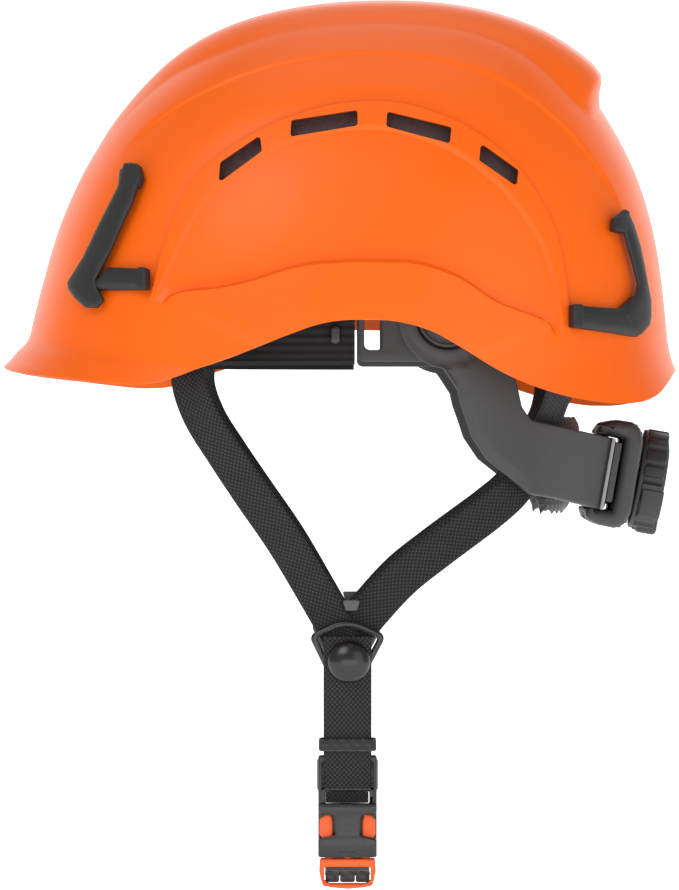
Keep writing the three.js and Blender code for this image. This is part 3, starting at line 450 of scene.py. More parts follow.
def plate(outline, fmap, t, r=0.5, holes=(), grid=3.0, nr=3, back_r=None, top=None):
    """Plate with rounded edges. fmap(u, v, h) gives a point; h runs from -t/2 (back) to +t/2 (front).
    top(u, v) adds height to the front face."""
    loops = []
    o = np.array(outline, float)
    if area2(o) < 0:
        o = o[::-1]
    loops.append(o)
    for hlp in holes:
        hlp = np.array(hlp, float)
        if area2(hlp) > 0:
            hlp = hlp[::-1]
        loops.append(hlp)
    br = r if back_r is None else back_r
    prof = [(r * (1 - math.sin(q)), t / 2 - r * (1 - math.cos(q))) for q in (math.pi / 2 * k / nr for k in range(nr + 1))] if r > 0 else [(0, t / 2)]
    prof2 = [(br * (1 - math.cos(q)), -t / 2 + br * (1 - math.sin(q))) for q in (math.pi / 2 * k / nr for k in range(nr + 1))] if br > 0 else [(0, -t / 2)]
    prof = prof + prof2
    V, F = [], []
    inner_top, inner_bot = [], []
    for lp in loops:
        rings = []
        for d, h in prof:
            q = inset(lp, d)
            ids = []
            for k, p in enumerate(q):
                hh = h + (top(p[0], p[1]) if (top and h > 0) else 0)
                ids.append(len(V))
                V.append(tuple(fmap(p[0], p[1], hh)))
            rings.append((ids, q))
        n = len(lp)
        for a, b in zip(rings[:-1], rings[1:]):
            for k in range(n):
                F.append((a[0][k], a[0][(k + 1) % n], b[0][(k + 1) % n], b[0][k]))
        inner_top.append(rings[0])
        inner_bot.append(rings[-1])
    for rings, h, flip in ((inner_top, t / 2, False), (inner_bot, -t / 2, True)):
        pts, ids, faces_in = [], [], []
        for idl, q in rings:
            faces_in.append(list(range(len(pts), len(pts) + len(q))))
            pts += [Vector((float(a), float(b))) for a, b in q]
            ids += idl
        if grid:
            lo, hi = o.min(0), o.max(0)
            allq = np.vstack([q for _, q in rings])
            xs = np.arange(lo[0] + grid * 0.37, hi[0], grid)
            ys = np.arange(lo[1] + grid * 0.41, hi[1], grid)
            for x in xs:
                for y in ys:
                    if inside(rings[0][1], x, y) and not any(inside(q, x, y) for _, q in rings[1:]):
                        if np.min((allq[:, 0] - x) ** 2 + (allq[:, 1] - y) ** 2) > (grid * 0.4) ** 2:
                            pts.append(Vector((float(x), float(y))))
                            ids.append(None)
        edges = []
        for fl in faces_in:
            edges += [(fl[k], fl[(k + 1) % len(fl)]) for k in range(len(fl))]
        res = delaunay_2d_cdt(pts, edges, [], 0, 1e-7)
        vv, ff, orig = res[0], res[2], res[3]
        mapid = []
        for k, p in enumerate(vv):
            src = [s for s in orig[k]] if orig[k] else []
            got = next((ids[s] for s in src if ids[s] is not None), None)
            if got is None:
                hh = h + (top(p[0], p[1]) if (top and h > 0) else 0)
                got = len(V)
                V.append(tuple(fmap(p[0], p[1], hh)))
            mapid.append(got)
        for f in ff:
            cx = sum(vv[k][0] for k in f) / len(f)
            cy = sum(vv[k][1] for k in f) / len(f)
            if not inside(rings[0][1], cx, cy) or any(inside(q, cx, cy) for _, q in rings[1:]):
                continue
            g = tuple(mapid[k] for k in f)
            if len(set(g)) == len(g):
                F.append(tuple(reversed(g)) if flip else g)
    return V, F


def inside(poly, x, y):
    px, py = poly[:, 0], poly[:, 1]
    qx, qy = np.roll(px, -1), np.roll(py, -1)
    c = (py > y) != (qy > y)
    with np.errstate(divide="ignore", invalid="ignore"):
        xi = (qx - px) * (y - py) / np.where(qy == py, 1e-12, qy - py) + px
    return bool(np.count_nonzero(c & (x < xi)) % 2)


def lathe(profile, origin, axis, seg=48):
    """Profile of (radius, height) from axis to axis, mm; returns metres."""
    z = Vector(axis).normalized()
    x = z.orthogonal().normalized()
    y = z.cross(x)
    o = Vector(origin)
    V, F, rows = [], [], []
    for r, h in profile:
        if r < 1e-6:
            rows.append([len(V)])
            V.append(tuple((o + z * h) * MM))
        else:
            rows.append(list(range(len(V), len(V) + seg)))
            for k in range(seg):
                q = 2 * math.pi * k / seg
                V.append(tuple((o + z * h + (x * math.cos(q) + y * math.sin(q)) * r) * MM))
    for a, b in zip(rows[:-1], rows[1:]):
        for k in range(seg):
            k2 = (k + 1) % seg
            if len(a) == 1:
                F.append((a[0], b[k], b[k2]))
            elif len(b) == 1:
                F.append((a[k], b[0], a[k2]))
            else:
                F.append((a[k], b[k], b[k2], a[k2]))
    return V, F


def fillet_profile(pts, r, n=4):
    """Rounds the inner corners of an open (radius, height) profile."""
    out = [pts[0]]
    R = r if isinstance(r, (list, tuple)) else [r] * len(pts)
    for i in range(1, len(pts) - 1):
        p0, p1, p2 = (np.array(pts[i + k], float) for k in (-1, 0, 1))
        a, b = p0 - p1, p2 - p1
        la, lb = np.linalg.norm(a), np.linalg.norm(b)
        a, b = a / la, b / lb
        ang = math.acos(max(-1, min(1, float(a @ b))))
        if ang > math.pi - 0.05 or R[i] <= 0:
            out.append(tuple(p1))
            continue
        t = min(R[i] / math.tan(ang / 2), la * 0.45, lb * 0.45)
        for k in range(n + 1):
            s = k / n
            q = (1 - s) ** 2 * (p1 + a * t) + 2 * s * (1 - s) * p1 + s * s * (p1 + b * t)
            out.append(tuple(q))
    out.append(pts[-1])
    return out


def catmull(pts, n):
    """Centripetal Catmull-Rom."""
    P = [np.array(p, float) for p in pts]
    L = len(P)
    out = []
    for k in range(n + 1):
        u = k / n * (L - 1)
        i = min(int(u), L - 2)
        w = u - i
        p1, p2 = P[i], P[i + 1]
        p0 = P[i - 1] if i > 0 else 2 * P[0] - P[1]
        p3 = P[i + 2] if i + 2 < L else 2 * P[-1] - P[-2]
        d0 = max(float(((p0 - p1) ** 2).sum()) ** 0.25, 1e-4)
        d1 = max(float(((p1 - p2) ** 2).sum()) ** 0.25, 1e-4)
        d2 = max(float(((p2 - p3) ** 2).sum()) ** 0.25, 1e-4)
        t1 = ((p1 - p0) / d0 - (p2 - p0) / (d0 + d1) + (p2 - p1) / d1) * d1
        t2 = ((p2 - p1) / d1 - (p3 - p1) / (d1 + d2) + (p3 - p2) / d2) * d1
        c2 = -3 * p1 + 3 * p2 - 2 * t1 - t2
        c3 = 2 * p1 - 2 * p2 + t1 + t2
        out.append(p1 + t1 * w + c2 * w * w + c3 * w ** 3)
    return np.array(out)


def tape(pts, normals, w, t, n, across=10, crown=0.0):
    """Woven tape along a centre line with rounded selvedges: verts, faces, uv (metres)."""
    c, d = catmull(pts, n), catmull(normals, n)
    sec = []
    for k in range(across + 1):
        s = -1 + 2 * k / across
        sec.append((s * (w / 2 - t * 0.35), t / 2))
    edge_r = t / 2
    ring = []
    for s, h in sec:
        ring.append((s, h))
    ring.append((w / 2 - t * 0.1, t * 0.32))
    ring.append((w / 2, 0))
    ring.append((w / 2 - t * 0.1, -t * 0.32))
    for s, h in reversed(sec):
        ring.append((s, -h))
    ring.append((-w / 2 + t * 0.1, -t * 0.32))
    ring.append((-w / 2, 0))
    ring.append((-w / 2 + t * 0.1, t * 0.32))
    V, F, UV = [], [], []
    m = len(ring)
    dist = 0
    for i in range(n + 1):
        tan = c[min(i + 1, n)] - c[max(i - 1, 0)]
        tan /= np.linalg.norm(tan)
        nn = d[i] - tan * (d[i] @ tan)
        nn /= np.linalg.norm(nn)
        wd = np.cross(nn, tan)
        if i:
            dist += np.linalg.norm(c[i] - c[i - 1])
        for s, h in ring:
            V.append(tuple((c[i] + wd * s + nn * h) * MM))
            UV.append(((s + (0.3 if h < 0 else 0)) * MM, dist * MM))
    for i in range(n):
        for k in range(m):
            k2 = (k + 1) % m
            F.append((i * m + k, i * m + k2, (i + 1) * m + k2, (i + 1) * m + k))
    F.append(tuple(range(m)))
    F.append(tuple(reversed(range(n * m, n * m + m))))
    return V, F, UV


def box_r(x0, x1, y0, y1, z0, z1, r=0.5, nr=2):
    """Rounded box, mm in, metres out (plate in the XZ plane, thick along Y)."""
    o = round_poly([(x0, z0), (x1, z0), (x1, z1), (x0, z1)], min(r * 1.2, (x1 - x0) * 0.4, (z1 - z0) * 0.4))
    return plate(o, lambda u, v, h: (u * MM, ((y0 + y1) / 2 - h) * MM, v * MM), y1 - y0, min(r, (y1 - y0) * 0.4), grid=0, nr=nr)


def boolean(o, cutter, op="DIFFERENCE"):
    m = o.modifiers.new("b", "BOOLEAN")
    m.operation, m.object, m.solver = op, cutter, "MANIFOLD"
    deps = bpy.context.evaluated_depsgraph_get()
    me = bpy.data.meshes.new_from_object(o.evaluated_get(deps))
    old = o.data
    o.modifiers.clear()
    o.data = me
    bpy.data.meshes.remove(old)
    bpy.data.objects.remove(cutter)
    return o


def temp(name, verts, faces):
    me = bpy.data.meshes.new(name)
    me.from_pydata([tuple(v) for v in verts], [], [tuple(f) for f in faces])
    bm = bmesh.new()
    bm.from_mesh(me)
    bmesh.ops.recalc_face_normals(bm, faces=bm.faces)
    bm.to_mesh(me)
    bm.free()
    o = bpy.data.objects.new(name, me)
    bpy.context.scene.collection.objects.link(o)
    return o


def prism_y(pts, y0, y1):
    n = len(pts)
    V = [(p[0] * MM, y0 * MM, p[1] * MM) for p in pts] + [(p[0] * MM, y1 * MM, p[1] * MM) for p in pts]
    F = [tuple(range(n)), tuple(reversed(range(n, 2 * n)))] + [(k, (k + 1) % n, n + (k + 1) % n, n + k) for k in range(n)]
    return V, F


# ------------------------------------------------------------------ the shell surface (same shape as the CAD)
CX, CZ, HW, POW, WALL = 10.0, -14.0, 108.0, 2.25, 3.0
RADIUS = [(-12, 176), (-4, 168), (2, 159), (4, 156), (5.5, 152.9), (6.5, 150.6), (8, 148.1), (9.5, 145.2), (11, 143.9), (14, 143.8),
          (20, 144.5), (30, 148.3), (40, 153.3), (46, 156.6), (50, 158.6), (55, 160.4), (60, 162.1), (65, 163.6), (70, 164.6), (75, 164.9),
          (80, 164.9), (90, 165.3), (100, 167), (105, 168.1), (110, 168.7), (115, 168.1), (120, 165.8), (125, 162.4), (128.5, 160), (132.9, 156.2),
          (139, 151.3), (145, 146.2), (151, 141.4), (157, 137), (163.7, 133.3), (168, 131.8), (170, 131.5), (172.2, 131.9), (174.6, 133.2),
          (178, 136), (184, 142), (192, 150), (215, 150), (240, 140), (270, 135), (300, 145), (325, 165), (348, 176)]
CREST = [(44, 0), (46, 0.3), (50, 0.8), (55, 2), (60, 3.3), (65, 4), (70, 4.1), (90, 4.2), (100, 4.5), (105, 4.8), (110, 5.3), (115, 6.6),
         (120, 8.4), (124, 9.7), (125.4, 9.3), (127.4, 3.4), (129, 0)]
RIM = [(-260, 40), (-150, 8), (-142.5, 1.2), (-141.1, -0.5), (-138.5, -1.9), (-134.3, -2.9), (-126.9, -3.9), (-119.8, -4.7), (-112.8, -5.4), (-99.2, -7),
       (-85.7, -8.1), (-79.1, -7.9), (-72.5, -6.9), (-65.9, -4.9), (-59.3, -2.4), (-46.2, 2), (-33.1, 7), (-20.1, 12.1), (-7.1, 16.4), (-0.6, 17.5),
       (5.9, 17.9), (12.4, 17.9), (18.9, 17.7), (23.7, 17.1), (30.9, 15.5), (38.2, 13), (45.5, 9.1), (52.8, 4.8), (60, 0.3), (67.4, -3.8),
       (73.6, -6.7), (79.4, -8.9), (85.4, -10.9), (93.8, -13.2), (104.1, -15), (110.8, -15.8), (117.6, -15.9), (124.4, -15.3), (127.8, -14.3),
       (132.6, -11.8), (136.4, -7.9), (140.8, -2.7), (142.4, -1.2), (146, 2), (260, 40)]
THIN = [(40, 0.925), (52.8, 0.909), (60, 0.892), (68, 0.877), (78, 0.873), (90, 0.873), (104, 0.864), (115, 0.857), (120, 0.862), (125, 0.87),
        (133, 0.885), (140, 0.90), (150, 0.915)]
BAND_UP = [(18, 0.655), (27.7, 0.663), (37, 0.679), (44.5, 0.696), (50.5, 0.714), (57, 0.721), (66, 0.72), (77, 0.729), (85, 0.738),
           (93, 0.741), (98, 0.735), (103, 0.725), (108, 0.714), (113.6, 0.705), (119.5, 0.70), (126, 0.698), (137.6, 0.692), (150, 0.673), (160, 0.667), (170, 0.66)]
BAND_LOW = [(18, 0.64), (27.9, 0.652), (31.5, 0.646), (37.5, 0.646), (44.4, 0.655), (50, 0.657), (60, 0.664), (72, 0.671), (85, 0.681),
            (93.4, 0.68), (98.7, 0.671), (104.3, 0.658), (110, 0.648), (116, 0.638), (123, 0.637), (130, 0.64), (140, 0.647), (152, 0.643), (158, 0.644), (170, 0.635)]
SKIRT = [(18, 0.615), (27.5, 0.615), (29.7, 0.588), (36.5, 0.493), (46.9, 0.416), (56.3, 0.382), (66.4, 0.358), (79.8, 0.338), (96, 0.333),
         (110.4, 0.345), (116.8, 0.355), (128.2, 0.388), (142.9, 0.444), (153.8, 0.545), (158.5, 0.605), (170, 0.61)]
VENTS = [[(-49.6, 74.3), (-49.0, 83.0), (-32.6, 94.2), (-31.8, 87.4)], [(-20.2, 93.4), (-19.8, 100.4), (7.4, 104.6), (7.4, 98.0)],
         [(19.2, 97.6), (19.6, 104.0), (46.0, 97.4), (45.2, 90.5)], [(57.2, 83.6), (58.0, 90.8), (73.4, 79.8), (72.6, 72.9)]]


def pchip(tab):
    """Monotone cubic through the table."""
    x = np.array([a for a, _ in tab], float)
    y = np.array([b for _, b in tab], float)
    h, d = np.diff(x), np.diff(y) / np.diff(x)
    m = np.zeros(len(x))
    for i in range(1, len(x) - 1):
        if d[i - 1] * d[i] > 0:
            w1, w2 = 2 * h[i] + h[i - 1], h[i] + 2 * h[i - 1]
            m[i] = (w1 + w2) / (w1 / d[i - 1] + w2 / d[i])
    m[0], m[-1] = d[0], d[-1]

    def f(q):
        q = min(max(q, x[0]), x[-1])
        i = min(int(np.searchsorted(x, q, "right")) - 1, len(h) - 1)
        t = (q - x[i]) / h[i]
        return float((1 + 2 * t) * (1 - t) ** 2 * y[i] + t * (1 - t) ** 2 * h[i] * m[i] + t * t * (3 - 2 * t) * y[i + 1] + t * t * (t - 1) * h[i] * m[i + 1])
    return f


def smooth_tab(tab, sig):
    """Softens the kinks of a given table with a small moving average."""
    f = pchip(tab)
    w = [(-2, 0.06), (-1, 0.24), (0, 0.4), (1, 0.24), (2, 0.06)]
    return lambda q: sum(f(q + k * sig) * c for k, c in w)


fR0 = pchip(RADIUS)
fRs = smooth_tab(RADIUS, 1.6)


def sstep(a, b, x):
    t = min(1.0, max(0.0, (x - a) / (b - a)))
    return t * t * (3 - 2 * t)


@functools.lru_cache(maxsize=None)
def fR(a):
    w = sstep(13, 17, a) * (1 - sstep(166, 169, a))
    return fR0(a) * (1 - w) + fRs(a) * w


fH, fTH, fBU, fBL, fSK = pchip(CREST), smooth_tab(THIN, 2.5), smooth_tab(BAND_UP, 2.5), smooth_tab(BAND_LOW, 2.5), smooth_tab(SKIRT, 2.0)


def wrap(a):
    return a - 360 if a > 340 else a


def s_base(a, rho, side):
    r, t = fR(wrap(a)) * rho, a * RAD
    y = 0 if rho >= 1 else HW * (1 - rho ** POW) ** (1 / POW)
    return np.array([CX - r * math.cos(t), side * y, CZ + r * math.sin(t)])


def s_normal(a, rho, side):
    if rho < 0.02:
        return np.array([0, side, 0.0])
    rr = min(rho, 0.9995)
    ta = s_base(a + 0.5, rr, side) - s_base(a - 0.5, rr, side)
    if rho >= 0.999:
        n = np.cross(ta, [0, 1, 0])
    else:
        n = np.cross(ta, s_base(a, min(0.9995, rho + 0.004), side) - s_base(a, rho - 0.004, side))
    n /= np.linalg.norm(n)
    c = s_base(a, rho, side) - np.array([CX, 0, CZ])
    return n if n @ c > 0 else -n


def fade(a):
    return sstep(24, 30, a) * (1 - sstep(156, 163, a))


def fade_thin(a):
    return sstep(44, 54, a) * (1 - sstep(136, 148, a))


@functools.lru_cache(maxsize=None)
def keys(a0):
    """Feature points of one meridian from the centre plane to the side: (fraction, outer offset, inner offset)."""
    a = wrap(a0)
    F, T, h = fade(a), fade_thin(a), fH(a)
    wide = 1 - 0.5 * (1 - sstep(56, 70, a))
    top, low = 1 - 0.014 * wide, 1 - 0.047 * wide - 0.012 * sstep(105, 124, a)
    th, bu, bl, sk = fTH(a), fBU(a), fBL(a), fSK(a)
    inF = -WALL - 2.6 * F
    return [(1, h, h - WALL), (top, h * 0.93, h * 0.93 - WALL), (low, 0, -WALL), (th, 0, -WALL), (th - 0.006, -0.75 * T, -WALL - 0.7 * T),
            ((th + bu) / 2, -0.35 * T - 0.9 * F, -WALL - 1.4 * F), (bu + 0.010, -2.5 * F, inF), (bu, 0, inF), (bl, 0, inF), (bl - 0.009, -1.9 * F, inF),
            ((bl + sk) / 2, -2.4 * F, inF), (sk + 0.013, -3.1 * F, inF - 0.3 * F), (sk, 0.6 * F, -WALL - 0.6 * F), (sk * 0.75 + 0.05, 0.6 * F, -WALL + 0.2 * F),
            (0.19, 0.6 * F, -WALL + 0.3 * F), (0.09, 0.6 * F, -WALL + 0.3 * F), (0.0, 0.6, -WALL + 0.3)]


# how finely each stretch between two feature points is cut, and its blend shape
CUTS = [9, 6, 10, 3, 8, 8, 3, 9, 3, 9, 8, 4, 8, 7, 3, 3]
SOFT = {5: "dip", 10: "dip"}


def blend_w(kind, t):
    if kind == "edge":
        return t * t * (3 - 2 * t) * 0.55 + t * 0.45
    if kind == "out":
        return t * t
    if kind == "dip":
        return t ** 1.6
    return t


def meridian(a, inner=False, fine=True):
    ks = keys(a)
    out = [(ks[0][0], ks[0][2 if inner else 1])]
    for i in range(len(ks) - 1):
        n = CUTS[i] if fine else 1
        for k in range(1, n + 1):
            t = k / n
            if fine and SOFT.get(i) == "edge":
                t = 0.5 - 0.5 * math.cos(math.pi * t) if n > 3 else t
            rho = ks[i][0] + (ks[i + 1][0] - ks[i][0]) * t
            w = blend_w(SOFT.get(i), t) if not inner else t
            a_, b_ = ks[i][2 if inner else 1], ks[i + 1][2 if inner else 1]
            out.append((rho, a_ + (b_ - a_) * w))
    return out


def egg(angles, inner=False, fine=True, const=None, skip=()):
    rows = []
    for a in angles:
        m = meridian(a, inner, fine)
        if const is not None:
            m = [(r, const) for r, _ in m]
        rows.append([q for i, q in enumerate(m) if i not in skip])
    nA, nL = len(angles), len(rows[0])
    V, F = [], []
    idx = {}
    for i, a in enumerate(angles):
        for j, (rho, off) in enumerate(rows[i]):
            for s in (-1, 1):
                if j == 0 and s == 1:
                    idx[i, j, 1] = idx[i, j, -1]
                    continue
                if j == nL - 1:
                    if i:
                        idx[i, j, s] = idx[0, j, s]
                        continue
                idx[i, j, s] = len(V)
                p = s_base(a, rho, s) + s_normal(a, rho, s) * off
                if j == 0:
                    p[1] = 0
                V.append(tuple(p * MM))
    for i in range(nA):
        k = (i + 1) % nA
        for s in (-1, 1):
            for j in range(nL - 1):
                q = [idx[i, j, s], idx[k, j, s], idx[k, j + 1, s], idx[i, j + 1, s]]
                if s > 0:
                    q.reverse()
                r = []
                for x in q:
                    if not r or (x != r[-1] and x != r[0]):
                        r.append(x)
                if len(set(r)) >= 3:
                    F.append(tuple(r))
    return V, F


def a_list(step, lo=-4, hi=196, rest=8, extra=()):
    n = int((hi - lo) / step)
    out = [lo + (hi - lo) * i / n for i in range(n)] + [hi + (360 - (hi - lo)) * i / rest for i in range(rest)]
    return sorted(out + list(extra))


def on_shell(x, z, side=-1, h=0.0):
    """Point over the shell at a place in side view (mm), h above the base surface."""
    d = np.array([x - CX, z - CZ])
    a = math.degrees(math.atan2(d[1], -d[0]))
    rho = min(0.999, float(np.hypot(*d)) / fR(wrap(a if a > -20 else a + 360)))
    return s_base(a, rho, side) + s_normal(a, rho, side) * h


def band_relief(x, z):
    """Outer offset of the shell at a place in side view, from the same feature points."""
    d = (x - CX, z - CZ)
    a = math.degrees(math.atan2(d[1], -d[0]))
    rho = min(0.999, math.hypot(*d) / fR(a))
    ks = keys(a)
    for i in range(len(ks) - 1):
        if ks[i + 1][0] <= rho <= ks[i][0]:
            t = (ks[i][0] - rho) / max(1e-6, ks[i][0] - ks[i + 1][0])
            return ks[i][1] + (ks[i + 1][1] - ks[i][1]) * t
    return 0.0


STEP = 0.8
outer = egg(a_list(STEP, extra=(125.0, 125.4, 126.2, 127.2, 128.2, 128.9, 5.0, 6.0, 7.0, 8.6, 9.4)))
inner = egg(a_list(3.2, rest=8), inner=True, fine=False)
shell = temp("outer_shell_skin", *merge([outer, (inner[0], [tuple(reversed(f)) for f in inner[1]])]))
# keep nested faces pointing the right way: the inner skin faces inwards
bm = bmesh.new()
bm.from_mesh(shell.data)
isl = [f for f in bm.faces if f.index >= len(outer[1])]
nrm = isl[0].normal.dot(isl[0].calc_center_median() - Vector((CX * MM, 0, CZ * MM)))
if nrm > 0:
    bmesh.ops.reverse_faces(bm, faces=isl)
bm.to_mesh(shell.data)
bm.free()
rim = np.array([(x, z) for x, z in RIM])
rx = np.array([p[0] for p in RIM])
rim_f = pchip(RIM)
rim_x = np.concatenate([[-260], np.arange(-150, 150.01, 1.5), [260]])
rim_pts = [(x, rim_f(x)) for x in rim_x] + [(260, -260), (-260, -260)]
cuts = [prism_y(rim_pts, -200, 200)]
for v in VENTS:
    o = round_poly(v, 1.1, 0.35)
    cuts += [prism_y([tuple(p) for p in o], -110, -45), prism_y([tuple(p) for p in o], 45, 110)]
boolean(shell, temp("cut", *merge(cuts)))
shell.name = "shell"
shell.data.name = "shell"
shell.data.materials.clear()
shell.data.materials.append(ORANGE)
shell.data.shade_smooth()
shell.data.set_sharp_from_angle(angle=32 * RAD)
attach(shell, "helmet")
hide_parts("outer_shell")

# ------------------------------------------------------------------ liner and vent netting
lo_v, lo_f = egg(a_list(4.0, rest=8), fine=False, const=-WALL - 5.9, skip=(4, 6, 9, 11, 14))
li_v, li_f = egg(a_list(4.0, rest=8), fine=False, const=-WALL - 5.6 - 14, skip=(4, 6, 9, 11, 14))
liner = temp("liner", *merge([(lo_v, lo_f), (li_v, [tuple(reversed(f)) for f in li_f])]))
bm = bmesh.new()
bm.from_mesh(liner.data)
isl = [f for f in bm.faces if f.index >= len(lo_f)]
if isl[0].normal.dot(isl[0].calc_center_median() - Vector((CX * MM, 0, CZ * MM))) > 0:
    bmesh.ops.reverse_faces(bm, faces=isl)
bm.to_mesh(liner.data)
bm.free()
chan = [prism_y([(-260, 45), (260, 45), (260, -260), (-260, -260)], -200, 200)]
boolean(liner, temp("cut", *merge(chan)))
liner.name = "liner"
liner.data.materials.clear()
liner.data.materials.append(FOAM)
liner.data.shade_smooth()
liner.data.set_sharp_from_angle(angle=40 * RAD)
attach(liner, "helmet")
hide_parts("impact_liner")

ZONE = [(-56, 66), (-52, 88), (-36, 99), (-22, 105.5), (8, 109), (24, 108), (50, 100), (64, 91), (80, 79), (76, 66), (60, 79), (44, 87), (18, 94), (8, 94.5), (-20, 89.5), (-36, 80)]
both("netting", lambda: plate(resample(ZONE, 2.0), lambda u, v, h: on_shell(u, v, -1, -WALL - 3.3 + h) * MM, 0.6, 0.15, grid=3, nr=1), MESH, "vent_mesh", slot="mesh")


# ------------------------------------------------------------------ headlamp clips
CLIPS = {
    "front": dict(
        arm=[(-83.8, 82.4), (-88.3, 79.2), (-88.9, 72.5), (-96.5, 57.5), (-103, 44), (-109.6, 33.6), (-109.2, 30.6), (-106.4, 26.8), (-102, 22.9), (-97.4, 22.8), (-94.6, 26), (-97.2, 30.8), (-98, 34.5), (-92.4, 45), (-87.2, 57), (-83, 66), (-80.8, 73), (-81.2, 80.2)],
        foot=[(-109, 30.8), (-106.4, 26.8), (-102.8, 23.4), (-98, 30.4), (-77.2, 30.2), (-77.3, 38.6), (-93.5, 39.6), (-97.4, 35)],
        end=[(-80.6, 30.1), (-77.0, 30.1), (-77.1, 39.0), (-80.4, 39.0)], hook=[(-88.4, 72), (-81, 72), (-79.5, 76), (-80.8, 81.4), (-86.3, 81.8)]),
    "rear": dict(
        arm=[(115.6, 64.4), (119, 57.5), (121.6, 49), (123.2, 41.3), (126.0, 26.5), (126.0, 20), (125.4, 16.6), (121.6, 12.2), (117.6, 14), (114.4, 20.4), (117.4, 25.8), (120, 29.4), (120.6, 33.4), (118.2, 43), (114.8, 54.5), (111.2, 55.6), (110.6, 59.8)],
        foot=[(93.6, 24.0), (104, 23.4), (113.8, 22.9), (120.2, 28.8), (123.6, 14.2), (121, 11.6), (107, 13.4), (93.5, 15.1)],
        end=[(93.3, 14.9), (97.2, 14.6), (97.3, 24.2), (93.4, 24.4)], hook=[(110.6, 54.9), (115.2, 53.9), (117, 63.8), (111.2, 60)]),
}


def edge_chamfer(poly, width, drop):
    """Height of a chamfer that falls off towards the outline."""
    P = np.array(poly, float)
    A, B2 = P, np.roll(P, -1, 0)

    def f(u, v):
        q = np.array([u, v])
        d = B2 - A
        t = np.clip(((q - A) * d).sum(1) / np.maximum((d ** 2).sum(1), 1e-9), 0, 1)
        dist = float(np.min(np.linalg.norm(A + d * t[:, None] - q, axis=1)))
        return -drop * (1 - sstep(0, width, dist)) if width > 0 else 0
    return f


def clip_make(w):
    c = CLIPS[w]
    parts = []
    arm_o = round_poly(c["arm"], 1.2, 0.5)
    foot_o = round_poly(c["foot"], 0.8, 0.5)
    parts.append(plate(arm_o, lambda u, v, h: on_shell(u, v, -1, 3.9 + h) * MM, 2.4, 0.6, grid=1.6, top=edge_chamfer(c["arm"], 2.0, 0.55)))
    parts.append(plate(foot_o, lambda u, v, h: on_shell(u, v, -1, 2.45 + h) * MM, 4.1, 0.6, grid=1.6, top=edge_chamfer(c["foot"], 2.4, 0.9)))
    parts.append(plate(round_poly(c["end"], 0.9, 0.4), lambda u, v, h: on_shell(u, v, -1, 2.75 + h) * MM, 4.6, 0.7, grid=1.4))
    parts.append(plate(round_poly(c["hook"], 0.8, 0.4), lambda u, v, h: on_shell(u, v, -1, 3.0 + h) * MM, 4.2, 0.6, grid=1.6))
    return merge(parts)


for w in ("front", "rear"):
    both("clip_" + w, lambda w=w: clip_make(w), CLIP, "clip_" + w, slot="black_plastic")

# ------------------------------------------------------------------ headband, sweatband, crown pad
RING_A, RING_B, RING_X = 98, 78, 8


def ring_pt(deg, off):
    t = deg * RAD
    c, s = math.cos(t), math.sin(t)
    n = np.array([c / RING_A, s / RING_B])
    n /= np.linalg.norm(n)
    return np.array([RING_X + RING_A * c + n[0] * off, RING_B * s + n[1] * off])


def band(d0, d1, z0, z1, off0, off1, nu, prof):
    """Curved strip following the head ring; prof(v) gives outward push in mm across its height (v 0..1)."""
    V, F = [], []
    rows = []
    sec = []
    m = 40
    for k in range(m + 1):
        v = k / m
        sec.append((v, off1 + prof(v), 1))
    for k in range(12, -1, -1):
        sec.append((k / 12, off0, 0))
    n = len(sec)
    for i in range(nu + 1):
        d = d0 + (d1 - d0) * i / nu
        ends = sstep(0, 0.012, min(i / nu, 1 - i / nu) + 0.002)
        for v, off, _ in sec:
            p = ring_pt(d, off)
            V.append((p[0] * MM, p[1] * MM, (z0 + (z1 - z0) * v) * MM))
    for i in range(nu):
        for k in range(n):
            k2 = (k + 1) % n
            F.append((i * n + k, i * n + k2, (i + 1) * n + k2, (i + 1) * n + k))
    F.append(tuple(range(n)))
    F.append(tuple(reversed(range(nu * n, nu * n + n))))
    return V, F


def rib_prof(v):
    e = sstep(0, 0.05, v) * (1 - sstep(0.95, 1, v))
    ribs = 0.28 * math.sin(v * 2 * math.pi * 9.5) * sstep(0.08, 0.12, v) * (1 - sstep(0.88, 0.92, v))
    return -0.5 * (1 - e) + ribs + (0.35 if v < 0.07 or v > 0.93 else 0) * e


V, F = band(91, 269, 0, 32, 0.1, 1.9, 180, rib_prof)
mk("headband", V, F, WEB_RIB, node="headband_front", sharp=50, slot="webbing")

def hanger(deg, z0, zt, o0, o1):
    """Moulded tab that hangs the head ring from the liner."""
    V, F = [], []
    quads = []
    prof = [(o0, o0 + 2, z0), (o0, o0 + 2, z0 + 1.2), (o0, o0 + 2, zt - 9), (o0, o0 + 2.6, zt - 6), (o0, o0 + 4.2, zt - 3), (o0, o1 - 0.8, zt - 1.8), (o0, o1, zt - 0.8), (o0 + 0.3, o1, zt)]
    for q0, q1, z in prof:
        row = []
        for a, o in ((-4, q0 + 0.4), (-3.8, q0), (3.8, q0), (4, q0 + 0.4), (4, q1 - 0.5), (3.6, q1), (-3.6, q1), (-4, q1 - 0.5)):
            p = ring_pt(deg + a, o)
            row.append(len(V))
            V.append((p[0] * MM, p[1] * MM, z * MM))
        quads.append(row)
    for a, b in zip(quads[:-1], quads[1:]):
        for k in range(8):
            k2 = (k + 1) % 8
            F.append((a[k], a[k2], b[k2], b[k]))
    F.append(tuple(quads[0]))
    F.append(tuple(reversed(quads[-1])))
    return V, F


both("hanger_front", lambda: hanger(228, 10, 44.4, 2.4, 13.0), BLACK, "hanger_front", slot="black_plastic")
both("hanger_side", lambda: hanger(281, 36, 44.4, 0.1, 10.8), BLACK, "hanger_side", slot="black_plastic")


